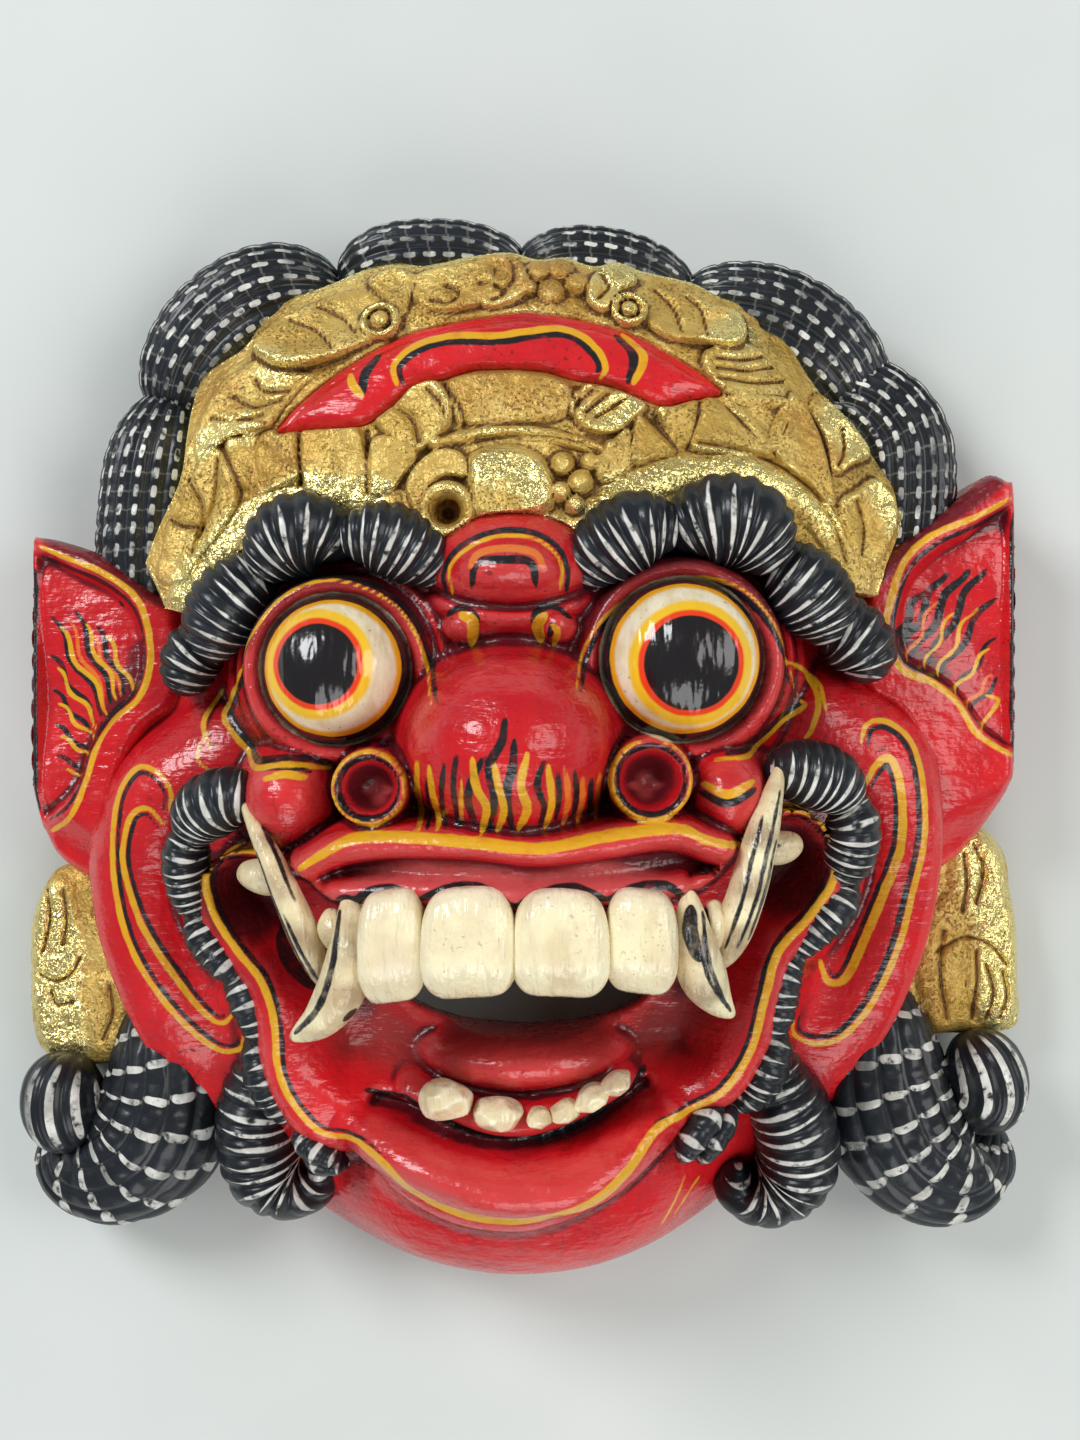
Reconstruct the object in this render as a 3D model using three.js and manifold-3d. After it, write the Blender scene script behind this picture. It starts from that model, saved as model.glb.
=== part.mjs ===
// A demon mask carved from one block of light wood: a hollow face with bulging eyes, tusks and open
// mouth, a gilt diadem, ears, ear ornaments and locks of hair. It lies on its flat back rim.
// Millimetres. +X is the viewer's right, +Y points to the crown and +Z points out of the face.
import * as THREE from 'three';
import { mergeVertices } from 'three/addons/utils/BufferGeometryUtils.js';
import Module from 'manifold-3d';

const wasm = await Module();
wasm.setup();

// ---- driving dimensions ----
const MIDLINE = -3; // the face's own midline; the carver set it a little left of the block's middle
const HEAD = { y: -20, halfWidth: 122, halfHeight: 135, depth: 64 };
const HOLLOW = { y: -4, halfWidth: 107, halfHeight: 122, depth: 50 };
const EYE = { x: 47, y: 21, z: 74, radius: 19.5, bulge: 22 };
const NOSE = { y: -1, z: 85, halfWidth: 26.5, halfHeight: 23, reach: 33 };
const LOCK_RISE = 21; // how far a lock of hair stands above and below its own middle
const LOCK_LEVEL = 20; // the height of a lock's middle above the back
const CROWN = { y: 20, halfWidth: 137, halfHeight: 142, depth: 78 };

// ---- solids from geometries ----
function solid(geometry) {
  const bare = geometry.clone();
  bare.deleteAttribute('normal');
  bare.deleteAttribute('uv');
  const merged = mergeVertices(bare, 1e-4);
  return new wasm.Manifold(new wasm.Mesh({
    numProp: 3,
    vertProperties: new Float32Array(merged.attributes.position.array),
    triVerts: new Uint32Array(merged.index.array),
  }));
}

function join(solids) {
  return solids.reduce((whole, next) => whole.add(next));
}

// An ellipsoid, the round form that a gouge leaves. Squareness under 1 flattens its sides.
function swell([x, y, z], [halfX, halfY, halfZ], detail = 4, squareness = 1) {
  const geometry = new THREE.IcosahedronGeometry(1, detail);
  const place = geometry.attributes.position;
  const bulge = (v) => Math.sign(v) * Math.abs(v) ** squareness;
  for (let i = 0; i < place.count; i += 1) {
    place.setXYZ(
      i,
      x + halfX * bulge(place.getX(i)),
      y + halfY * bulge(place.getY(i)),
      z + halfZ * bulge(place.getZ(i)),
    );
  }
  return solid(geometry);
}

// A round-ended roll bent along a path of [x, y, z] points, such as a lock, lip or tusk.
// The girth function scales the roll's section from 0 to 1 along it.
function roll(points, halfWidth, halfHeight, { detail = 3, girth = () => 1 } = {}) {
  const path = new THREE.CatmullRomCurve3(points.map((p) => new THREE.Vector3(...p)), false, 'centripetal');
  const geometry = new THREE.IcosahedronGeometry(1, detail);
  const place = geometry.attributes.position;
  const out = new THREE.Vector3(0, 0, 1);
  for (let i = 0; i < place.count; i += 1) {
    const along = (place.getX(i) + 1) / 2;
    const heading = path.getTangentAt(along);
    const side = new THREE.Vector3().crossVectors(out, heading).normalize();
    const up = new THREE.Vector3().crossVectors(heading, side);
    const size = girth(along);
    const point = path.getPointAt(along)
      .addScaledVector(side, place.getY(i) * halfWidth * size)
      .addScaledVector(up, place.getZ(i) * halfHeight * size);
    place.setXYZ(i, point.x, point.y, point.z);
  }
  return solid(geometry);
}

// A flat outline raised between two heights, with a chamfered front edge.
function raised(outline, low, high, chamfer) {
  const shape = new THREE.Shape();
  shape.setFromPoints(outline.map(([x, y]) => new THREE.Vector2(x, y)));
  const geometry = new THREE.ExtrudeGeometry(shape, {
    depth: high - low - 2 * chamfer,
    bevelEnabled: chamfer > 0,
    bevelThickness: chamfer,
    bevelSize: chamfer,
    bevelOffset: -chamfer,
    bevelSegments: 1,
  });
  geometry.translate(0, 0, low + chamfer);
  return solid(geometry);
}

function smoothOutline(points, divisions) {
  const curve = new THREE.CatmullRomCurve3(
    points.map(([x, y]) => new THREE.Vector3(x, y, 0)),
    true,
    'centripetal',
  );
  return curve.getPoints(divisions).slice(0, -1).map((p) => [p.x, p.y]);
}

// ---- head: skull, muzzle, cheeks, brow and chin ----
function head() {
  const skull = swell([MIDLINE, HEAD.y, 0], [HEAD.halfWidth, HEAD.halfHeight, HEAD.depth], 3);
  const muzzle = swell([-1, -60, 24], [80, 62, 56], 2);
  const brow = swell([MIDLINE, 30, 30], [86, 46, 50], 2);
  const upperJaw = swell([0, -30, 62], [62, 18, 48], 1, 0.85);
  const bridge = swell([MIDLINE, 26, 62], [20, 26, 24], 1);
  const chin = swell([-1, -122, 26], [50, 30, 40], 1);
  const cheekRidges = [
    [[-84, -6, 48], [-104, -26, 40], [-108, -56, 34], [-98, -82, 30], [-82, -96, 30]],
    [[86, 0, 50], [104, -22, 42], [107, -52, 36], [96, -78, 32], [80, -92, 32]],
  ].map((path) => roll(path, 15, 16, { detail: 1 }));
  return join([skull, muzzle, brow, upperJaw, bridge, chin, ...cheekRidges]);
}

function nose() {
  const ball = swell([MIDLINE, NOSE.y, NOSE.z], [NOSE.halfWidth, NOSE.halfHeight, NOSE.reach], 2);
  const wings = [[-38, -11, 9.5], [33, -9, 10.5]].map(([x, y, r]) => swell([x, y, 82], [r, r, 19], 1, 0.8));
  const cheekBumps = [[-61, -14, 12], [53, -13, 10]].map(([x, y, r]) => swell([x, y, 76], [r, 12, 16], 1));
  return join([ball, ...wings, ...cheekBumps]);
}

function nostrils() {
  return join([[-38, -11, 6.6], [33, -9, 7.6]].map(([x, y, r]) => swell([x, y, 98], [r, r, 14], 1)));
}

function eyes() {
  const balls = [-1, 1].map((side) => swell(
    [MIDLINE + side * EYE.x, EYE.y, EYE.z],
    [EYE.radius, EYE.radius, EYE.bulge],
    2,
  ));
  const urna = swell([MIDLINE, 47, 78], [19, 11, 16], 2);
  return join([...balls, urna]);
}

// Each eyebrow is a row of four fat rolls that overlap like shells.
function eyebrows() {
  const rolls = [
    [[-91, 25, 52], 9, 12, 11], [[-79, 39, 60], 11, 14, 15],
    [[-60, 55, 68], 12, 11, 17], [[-35, 53, 73], 14, 11, 17],
    [[88, 33, 50], 12, 12, 12], [[76, 43, 60], 11, 14, 15],
    [[55, 57, 68], 15, 12, 17], [[29, 55, 73], 14, 12, 17],
  ];
  return join(rolls.map(([centre, x, y, z]) => swell(centre, [x, y, z], 1)));
}

// ---- mouth: what is cut away, and what stands in it ----
function mouthHollow() {
  const middle = swell([-1, -79, 86], [60, 37, 38], 2);
  const corners = [[-69, -44, 74], [70, -37, 74]].map((centre) => swell(centre, [13, 17, 24], 1));
  return join([middle, ...corners]);
}

// The one way right through the mask, between the upper teeth and the tongue.
function mouthHole() {
  const hole = new THREE.Shape();
  hole.absellipse(1, -69, 35, 11.5, 0, 2 * Math.PI);
  const geometry = new THREE.ExtrudeGeometry(hole, { depth: 90, bevelEnabled: false, curveSegments: 6 });
  geometry.translate(0, 0, -10);
  return solid(geometry);
}

function upperTeeth() {
  const rows = [[-32, 8.5, 14.5, 99], [-13, 11.5, 13.5, 103], [10.5, 11.5, 13.5, 103], [30, 9, 13.5, 99]];
  return join(rows.map(([x, halfWidth, halfHeight, z]) => swell(
    [x, -49.5, z],
    [halfWidth, halfHeight, 7],
    1,
    0.7,
  )));
}

function lowerTeeth() {
  const rows = [[-19, -96, 7, 5], [-6, -98.5, 7, 4.5], [9, -98, 4, 3.5], [21, -92, 7, 4.5]];
  return join(rows.map(([x, y, halfWidth, halfHeight]) => swell([x, y, 70], [halfWidth, halfHeight, 8], 0)));
}

function tusks() {
  const pointed = (t) => 0.35 + 0.65 * Math.sin(Math.PI * Math.min(1, 0.25 + 0.75 * t));
  const fangs = [
    [[-41, -38, 92], [-43, -52, 95], [-48, -65, 95], [-58, -74, 92]],
    [[44, -36, 92], [45, -50, 95], [49, -61, 94], [54, -69, 90]],
  ].map((path) => roll(path, 6.5, 6.5, { detail: 1 }));
  const blades = [
    [[-49, -63, 78], [-56, -50, 84], [-64, -34, 83], [-73, -15, 74]],
    [[52, -56, 78], [57, -43, 84], [62, -27, 84], [69, -4, 76]],
  ].map((path) => roll(path, 6, 6.5, { detail: 1, girth: pointed }));
  const molars = [[-68, -36, 60], [70, -28, 60]].map((centre) => swell(centre, [11, 7, 15], 0));
  return join([...fangs, ...blades, ...molars]);
}

function lowerMouth() {
  const tongue = swell([0, -90, 50], [28, 12, 27], 1);
  const jawFloor = swell([-1, -100, 44], [48, 18, 28], 1);
  const lip = roll(
    [[-46, -103, 52], [-34, -110, 66], [-16, -117, 76], [2, -119, 78], [20, -115, 74], [40, -102, 54]],
    9,
    10,
    { detail: 2 },
  );
  return join([tongue, jawFloor, lip]);
}

// ---- hair: the locks round the head, the whiskers beside the mouth and the four curls below ----
function locks() {
  const level = ([x, y]) => [x, y, LOCK_LEVEL];
  const rows = [
    { path: [[-110, 38], [-111.5, 62], [-109, 84], [-103, 100]], halfWidth: 14 },
    { path: [[-101, 101], [-93, 120], [-76, 132], [-54, 134]], halfWidth: 15 },
    { path: [[-51, 139], [-38, 142.5], [-20, 143.5], [-1, 139]], halfWidth: 11.5 },
    { path: [[0, 139], [12, 141.5], [28, 140], [47, 135]], halfWidth: 11 },
    { path: [[44, 130], [66, 128], [85, 120], [100, 108]], halfWidth: 15 },
    { path: [[86, 102], [104, 97], [112, 80], [112, 52]], halfWidth: 14.5 },
  ];
  return join(rows.map(({ path, halfWidth }) => roll(path.map(level), halfWidth, LOCK_RISE, { detail: 2 })));
}

function whiskers() {
  const left = [
    roll([[-76, -10, 66], [-87, -18, 64], [-89, -32, 60], [-85, -44, 58]], 9, 13, { detail: 1 }),
    roll([[-86, -40, 56], [-81, -55, 54], [-73, -68, 52], [-71, -84, 46]], 7, 11, { detail: 1 }),
  ];
  const right = [
    roll([[70, -3, 68], [83, -11, 66], [88, -25, 62], [85, -40, 58]], 9, 13, { detail: 1 }),
    roll([[86, -36, 56], [80, -51, 56], [72, -63, 54], [68, -82, 48]], 7, 11, { detail: 1 }),
  ];
  const tufts = [[[-51, -113, 48], [7, 6, 12]], [[47, -110, 50], [7, 9, 12]]]
    .map(([centre, size]) => swell(centre, size, 0));
  return join([...left, ...right, ...tufts]);
}

function curls() {
  const big = [
    [[-98, -78, 20], [-104, -102, 20], [-112, -120, 18], [-127, -125, 17], [-134, -112, 18]],
    [[98, -74, 22], [104, -100, 20], [112, -120, 18], [127, -126, 17], [134, -112, 18]],
  ].map((path) => roll(path, 20, 22, { detail: 2 }));
  const ends = [[-129, -106, 20], [130, -104, 20]].map((centre) => swell(centre, [17, 16.5, 22], 1));
  const small = [
    [[-70, -80, 36], [-77, -98, 36], [-77, -118, 32], [-72, -129, 28], [-62, -129, 28], [-58, -120, 30]],
    [[66, -80, 38], [76, -98, 38], [81, -116, 32], [76, -132, 26], [64, -133, 26], [60, -124, 30]],
  ].map((path) => roll(path, 10, 22, { detail: 1 }));
  return join([...big, ...ends, ...small]);
}

// ---- diadem: a domed gilt plate with a red crescent, a boss and rows of leaves ----
function diadem() {
  const outline = smoothOutline([
    [-99, 30], [-104, 52], [-95, 78], [-93, 101], [-78, 112], [-69, 126], [-46, 134], [-16, 137],
    [11, 137], [34, 134], [64, 126], [74, 114], [86, 97], [98, 84], [106, 66], [98, 50],
    [60, 40], [0, 40], [-60, 34],
  ], 44);
  const dome = swell([MIDLINE + 3, CROWN.y, 0], [CROWN.halfWidth, CROWN.halfHeight, CROWN.depth], 4);
  const plate = dome.intersect(raised(outline, 2, 90, 0));
  const crescent = roll(
    [[-62, 87, 54], [-42, 98, 57], [-20, 106, 59], [4, 107.5, 60], [28, 102, 58], [52, 93, 54]],
    9,
    9,
    { detail: 1 },
  );
  const boss = swell([-2, 86, 62], [26, 14, 12], 1);
  const leaves = [];
  const crownHeight = (x, y) => CROWN.depth
    * Math.sqrt(1 - (x / CROWN.halfWidth) ** 2 - ((y - CROWN.y) / CROWN.halfHeight) ** 2);
  const leafCount = 7;
  for (let i = 0; i < leafCount; i += 1) {
    const turn = Math.PI * (0.12 + (0.76 * i) / (leafCount - 1));
    const x = -84 * Math.cos(turn) + MIDLINE + 3;
    const y = 30 + 92 * Math.sin(turn);
    leaves.push(swell([x, y, crownHeight(x, y) - 2], [11, 9, 8], 0));
  }
  for (const side of [-1, 1]) {
    for (let i = 0; i < 2; i += 1) {
      const x = MIDLINE + 3 + side * (42 + 22 * i);
      const y = 76 - 12 * i;
      leaves.push(swell([x, y, crownHeight(x, y) - 2], [6.5, 8, 7], 0));
    }
  }
  return join([plate, crescent, boss, ...leaves]);
}

// ---- ears and the gilt ornaments that hang below them ----
function ears() {
  const left = [
    [-134, 62], [-141, 56], [-142, -22], [-136, -29], [-120, -30],
    [-104, -10], [-96, 20], [-98, 44], [-112, 52],
  ];
  const right = [
    [134, 76], [142, 70], [142.5, -8], [139, -20], [131, -25],
    [112, -20], [98, 10], [98, 40], [108, 60],
  ];
  const leftPanel = [[-137, 50], [-137, -20], [-128, -17], [-122, 2], [-110, 14], [-110, 36], [-120, 45]];
  const rightPanel = [[137, 64], [137, -5], [130, -1], [125, 14], [110, 24], [108, 48], [118, 58]];
  const plates = join([raised(left, 10, 40, 4), raised(right, 10, 41, 4)]);
  return plates.subtract(join([raised(leftPanel, 33, 60, 0), raised(rightPanel, 34, 60, 0)]));
}

function ornaments() {
  const left = [
    [-136, -38], [-143, -45], [-147.5, -57], [-147.5, -82],
    [-143, -93], [-128, -95], [-112, -91], [-112, -45],
  ];
  const right = [
    [124, -24], [138, -26], [144, -36], [147, -54],
    [147.5, -82], [141, -87], [124, -86], [110, -78],
  ];
  return join([left, right].map((outline) => raised(outline, 3, 29, 5)));
}

// ---- the back: hollowed to a wall, and cut flat where it lies ----
function backHollow() {
  const wide = swell(
    [MIDLINE, HOLLOW.y, 0],
    [HOLLOW.halfWidth, HOLLOW.halfHeight, HOLLOW.depth],
    3,
  );
  const underTheBrow = swell([MIDLINE, 30, 0], [84, 68, 68], 2);
  return join([wide, underTheBrow]);
}

function aboveTheBack() {
  const room = new THREE.BoxGeometry(400, 400, 200);
  room.translate(0, 0, 100);
  return solid(room);
}

// ---- the whole mask, one piece ----
const outside = join([
  head(), nose(), eyes(), eyebrows(), locks(), whiskers(), curls(), diadem(), ears(), ornaments(),
]);
const hollowed = outside
  .subtract(mouthHollow())
  .add(lowerMouth())
  .subtract(join([backHollow(), mouthHole(), nostrils()]))
  .add(join([upperTeeth(), lowerTeeth(), tusks()]))
  .intersect(aboveTheBack());

function paintedWood() {
  return new THREE.MeshStandardMaterial({ color: 0xb3202b, roughness: 0.4, metalness: 0 });
}

function bufferGeometry(manifold) {
  const mesh = manifold.getMesh();
  const geometry = new THREE.BufferGeometry();
  geometry.setAttribute('position', new THREE.BufferAttribute(new Float32Array(mesh.vertProperties), 3));
  geometry.setIndex(new THREE.BufferAttribute(new Uint32Array(mesh.triVerts), 1));
  geometry.computeVertexNormals();
  return geometry;
}

const mask = new THREE.Mesh(bufferGeometry(hollowed), paintedWood());
mask.name = 'mask';

const model = new THREE.Group();
model.add(mask);

export default model;
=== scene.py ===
"""A carved wooden demon mask, painted red with a gilt diadem, lying face up on a pale floor.

Run in Blender 4.5. Lengths in the text are millimetres and every mesh is written in metres.
"""

import bmesh
import bpy
import numpy as np
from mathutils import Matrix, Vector


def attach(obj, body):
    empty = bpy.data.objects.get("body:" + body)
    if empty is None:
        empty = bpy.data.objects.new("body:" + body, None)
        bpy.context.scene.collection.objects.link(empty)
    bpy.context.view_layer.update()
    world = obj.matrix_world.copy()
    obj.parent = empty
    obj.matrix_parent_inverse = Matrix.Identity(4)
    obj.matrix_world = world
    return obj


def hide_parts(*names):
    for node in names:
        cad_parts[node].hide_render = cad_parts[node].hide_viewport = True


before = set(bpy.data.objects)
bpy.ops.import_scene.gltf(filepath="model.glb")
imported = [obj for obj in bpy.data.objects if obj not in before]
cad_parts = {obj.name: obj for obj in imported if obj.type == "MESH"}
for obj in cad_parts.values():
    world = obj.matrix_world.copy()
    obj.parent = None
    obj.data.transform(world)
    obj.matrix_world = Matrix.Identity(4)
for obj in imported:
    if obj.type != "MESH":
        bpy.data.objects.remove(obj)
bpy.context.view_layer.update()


# ---------------------------------------------------------------- head block
# Face, cheeks, chin and the dome that the diadem sits on: one block of light wood, gouged hollow behind
# to a flat rim and cut through at the mouth. Its front is sealed, painted gloss red and lined by brush.
MM = 0.001
MIDLINE = -3
BLOCK_MIDDLE = (MIDLINE, -20)
BLOCK_HALF = (121.5, 135)
MOUTH_HOLE = (1, -69, 35, 11.5)  # middle and half sizes of the oval
EYES = {"left": (-48.7, 19.7, 19.0), "right": (42.5, 22.2, 20.7)}  # middle and radius
LID_RING, LID_HALF, LID_TOP = 22.3, 3.6, 81  # round an eye of radius 19
WINGS = {"left": (-38.2, -10.8, 9.5), "right": (33, -8.8, 10.5)}  # of the nose: middle and radius
WING_TOP, NOSTRIL_FLOOR = 101, 87.5
CHEEK_BUMPS = ((-61, -14, 12.5), (53.5, -13.5, 11.5))
MOUTH_FLOOR = 49
UNPAINTED = -8.0  # how far from a brush stroke a point is taken to be when no stroke is near


def smooth_line(points, steps=8, closed=False):
    """A soft curve through a few points, as an array with the same columns."""
    p = np.array(points, float)
    ends = (p[-1:], p[:2]) if closed else (2 * p[:1] - p[1:2], 2 * p[-1:] - p[-2:-1])
    q = np.vstack([ends[0], p, ends[1]])
    t = np.linspace(0, 1, steps, endpoint=False)[:, None]
    parts = [
        0.5 * (2 * b + (c - a) * t + (2 * a - 5 * b + 4 * c - d) * t**2 + (3 * b - a - 3 * c + d) * t**3)
        for a, b, c, d in zip(q, q[1:], q[2:], q[3:])
    ]
    return np.vstack(parts + [p[:1] if closed else p[-1:]])


def nearest(line, x, y):
    """How far each point is from a line in plan, and how far along the line that is, by its columns."""
    best = np.full(np.shape(x), 1e6)
    columns = [np.zeros(np.shape(x)) for _ in range(line.shape[1] - 2)]
    for a, b in zip(line, line[1:]):
        run = b[:2] - a[:2]
        t = np.clip(((x - a[0]) * run[0] + (y - a[1]) * run[1]) / (run @ run + 1e-9), 0, 1)
        away = np.hypot(x - a[0] - t * run[0], y - a[1] - t * run[1])
        closer = away < best
        best = np.where(closer, away, best)
        for k, column in enumerate(columns):
            columns[k] = np.where(closer, a[k + 2] + t * (b[k + 2] - a[k + 2]), column)
    return [best] + columns


def inside(line, x, y):
    """True where a point lies inside a closed line."""
    odd = np.zeros(np.shape(x), bool)
    for a, b in zip(line, line[1:]):
        if a[1] != b[1]:
            crossing = (a[1] > y) != (b[1] > y)
            odd ^= crossing & (x < a[0] + (y - a[1]) * (b[0] - a[0]) / (b[1] - a[1]))
    return odd


def ease(v, low, high):
    """0 below low, 1 above high and smooth between."""
    t = np.clip((v - low) / (high - low), 0, 1)
    return t * t * (3 - 2 * t)


def melt(a, b, soft):
    """The higher of two surfaces, with a fillet between them."""
    h = np.clip(0.5 + 0.5 * (a - b) / soft, 0, 1)
    return b + (a - b) * h + soft * h * (1 - h)


def swelling(q, high, edge):
    """A round profile: high in the middle, where q is 0. Past the edge it runs straight down."""
    steep = high * edge / np.sqrt(1 - edge**2)
    return high * np.sqrt(1 - np.minimum(q, edge) ** 2) - np.maximum(q - edge, 0) * steep


def hill(x, y, middle, half, edge=0.93):
    """A rounded swelling with this middle and these half sizes."""
    q = np.hypot((x - middle[0]) / half[0], (y - middle[1]) / half[1])
    return middle[2] + swelling(q, half[2], edge)


def welt(x, y, points, half, high):
    """A rounded ridge along a line of (x, y, crest)."""
    away, crest = nearest(smooth_line(points, 6), x, y)
    return crest - high + swelling(away / half, high, 0.9)


def groove(x, y, points, half, deep):
    """How deep a V-gouge along a line of (x, y) cuts at each point."""
    away = nearest(smooth_line(points, 6), x, y)[0]
    return deep * np.exp(-((away / half) ** 2))


# the edge of the open mouth: x, y, height and how wide the wall inside it slopes
mouth_rim = smooth_line([
    (-48, -39, 92, 5), (-58, -31, 86, 6), (-70, -28.5, 78, 8), (-80, -30, 73, 8), (-84.5, -37, 71, 8),
    (-82.5, -46, 70, 9), (-76, -56, 70, 12), (-70, -64, 70, 15), (-66.5, -75, 70, 18), (-65, -88, 68, 18),
    (-61, -98, 66, 16), (-54, -106, 64, 14), (-44, -106.5, 64, 12), (-37, -110, 68, 11), (-29, -117.5, 72, 9),
    (-16, -123.5, 75, 8), (-2, -125, 76, 8), (8, -123, 76, 8), (20, -118, 73, 8), (29, -110.5, 68, 10),
    (36, -102.5, 64, 12), (46, -98.5, 64, 14), (55, -93, 66, 16), (61.5, -82, 68, 18), (65, -68, 70, 16),
    (68.5, -56, 70, 14), (76, -47.5, 70, 11), (82.5, -38, 71, 9), (84, -28.5, 72, 8), (78.5, -19.5, 75, 8),
    (69, -17.5, 80, 8), (57, -25, 87, 6), (46, -36, 93, 5), (25, -40, 99, 4), (0, -42, 101, 4), (-25, -40, 99, 4),
], 5, closed=True)


def face_height(x, y):
    """The carved front of the head block."""
    z = hill(x, y, (MIDLINE, -20, 10), (122, 136, 54), edge=0.985)
    z = melt(z, hill(x, y, (-1, -60, 24), (82, 64, 56)), 8)
    z = melt(z, hill(x, y, (MIDLINE, 28, 30), (88, 48, 50)), 8)
    z = melt(z, hill(x, y, (-1, -120, 24), (56, 35, 42)), 9)
    for side in (
        [(-82, -4, 56), (-101, -16, 54), (-108, -36, 51), (-107, -56, 49), (-99, -78, 45), (-84, -94, 40)],
        [(82, 4, 58), (100, -8, 56), (107, -28, 53), (107, -50, 50), (98, -74, 45), (82, -92, 40)],
    ):
        z = melt(z, welt(x, y, side, 20, 26), 7)
    # lids round the eyes, with a gouged line above them and at the temple
    for ex, ey, radius in EYES.values():
        ring = np.hypot(x - ex, y - ey) * 19 / radius
        across = np.abs(ring - LID_RING) / LID_HALF
        lid = LID_TOP - 14 + 14 * np.sqrt(np.clip(1 - across**2, 0.05, 1)) - 8 * np.maximum(across - 0.97, 0)
        z = melt(z, lid, 1.8)
        for line, cut in ((26.8, 2.4), (30.5, 2.8)):
            z = z - cut * np.exp(-(((ring - line) / 1.2) ** 2)) * ease(y, -4, 14)
    # bridge, the swelling between the brows and the crease under it
    z = melt(z, hill(x, y, (MIDLINE, 26, 60), (20, 15, 25)), 5)
    z = melt(z, hill(x, y, (MIDLINE, 44, 70), (24, 19, 22)), 3)
    z = melt(z, hill(x, y, (MIDLINE, 45, 82), (15.5, 8, 13), edge=0.9), 1.2)
    z = z - groove(x, y, [(-24, 41), (-14, 37), (-3, 35.5), (8, 37), (18, 41)], 1.8, 4.5)
    z = z - groove(x, y, [(-20, 14), (-18, 22), (-12, 26), (-3, 27.5), (7, 26), (12, 22), (14, 14)], 1.7, 4)
    for side in ((-15.5, 31), (9.5, 31)):
        z = melt(z, hill(x, y, (*side, 76), (5.5, 5, 11)), 1.5)
    # upper lip: a rolled edge under the nose, a dished band, then the gum
    z = melt(z, hill(x, y, (-1, -30, 56), (60, 15, 44)), 6)
    lip = [(-55, -31, 97), (-46, -26.5, 101), (-31, -24.5, 104), (-12, -25, 106), (5, -26.5, 106.5),
           (22, -24.5, 105), (38, -22.5, 103), (51, -26.5, 98)]
    z = melt(z, welt(x, y, lip, 4.5, 12), 4)
    gum = [(-47, -38, 95), (-32, -37, 99), (-13, -37, 103), (4, -38, 104), (22, -37, 101), (40, -36, 96)]
    z = melt(z, welt(x, y, gum, 4.5, 12), 5)
    # nose, wings with deep nostrils, and the round bumps on the cheeks
    z = melt(z, hill(x, y, (MIDLINE, 0, 84), (27.5, 24, 33.5)), 2)
    for wx, wy, radius in WINGS.values():
        away = np.hypot(x - wx, y - wy) / radius
        across = np.abs(away - 0.86) / 0.24
        wing = WING_TOP - 22 + 22 * np.sqrt(np.clip(1 - across**2, 0.04, 1)) - 60 * np.maximum(across - 0.97, 0)
        z = melt(z, wing, 1.5)
        bowl = NOSTRIL_FLOOR + 12.5 * np.clip(away / 0.88, 0, 1) ** 2.2
        z = np.where(away < 0.8, bowl, -melt(-z, -np.where(away < 0.95, bowl, 200), 1.0))
    for bx, by, half in CHEEK_BUMPS:
        z = melt(z, hill(x, y, (bx, by, 74), (half, 13, 18)), 2)
    # edge of the mouth and the hollow inside it
    near = (np.abs(x) < 105) & (y < -2) & (y > -140)
    xm, ym, zm = x[near], y[near], z[near]
    away, crest, slope = nearest(mouth_rim, xm, ym)
    within = inside(mouth_rim, xm, ym)
    across = away / 7
    flange = crest - 12 + 12 * np.sqrt(np.clip(1 - across**2, 0.06, 1)) - 14 * np.maximum(across - 0.97, 0)
    zm = np.where(ym < -34, melt(zm, flange, 3), zm)
    floor = MOUTH_FLOOR + 13 * ease(-ym, 82, 100) + 9 * ease(np.abs(xm - 1), 40, 62) * ease(-ym, 60, 80)
    drop = 0.5 + 0.5 * np.cos(np.pi * np.clip(away / slope, 0, 1))
    zm = np.where(within, floor + (np.maximum(zm, crest) - floor) * drop, zm)
    # lower lip, the gum under the small teeth and the tongue
    lower = [(-47, -103, 66), (-34, -110, 77), (-16, -116.5, 84), (2, -118.5, 86), (20, -115, 83), (40, -101, 68)]
    zm = melt(zm, welt(xm, ym, lower, 8.5, 20), 3)
    zm = melt(zm, welt(xm, ym, [(-30, -95, 66), (-14, -101, 73), (2, -102, 74), (26, -93, 68)], 6, 14), 2)
    zm = zm - groove(xm, ym, [(-40, -98), (-26, -100.5), (-10, -106), (4, -107), (18, -103), (34, -94)], 1.6, 6)
    zm = melt(zm, hill(xm, ym, (1, -86.5, 46), (30, 10.5, 29)), 5)
    z = z.copy()
    z[near] = zm
    # long shallow unevenness left by the knife
    z = z + 0.35 * np.sin(x / 7.3 + 1.7 * np.sin(y / 11)) * np.sin(y / 8.1 + 0.8 * np.sin(x / 9))
    return z


def hollow_height(x, y):
    """The gouged inside, which ends in the flat rim that the mask lies on."""
    wide = hill(x, y, (MIDLINE, -4, 0), (106, 121, 49), edge=0.97)
    brow = hill(x, y, (MIDLINE, 30, 0), (82, 66, 66), edge=0.97)
    z = melt(wide, brow, 6)
    gouge = np.abs(np.sin(x / 5.2 + 0.7 * np.sin(y / 23))) + 0.6 * np.sin(y / 17 + x / 31)
    return np.where(z > 0.2, np.maximum(z - 0.9 * gouge * ease(z, 2, 12), 0), 0)


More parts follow.
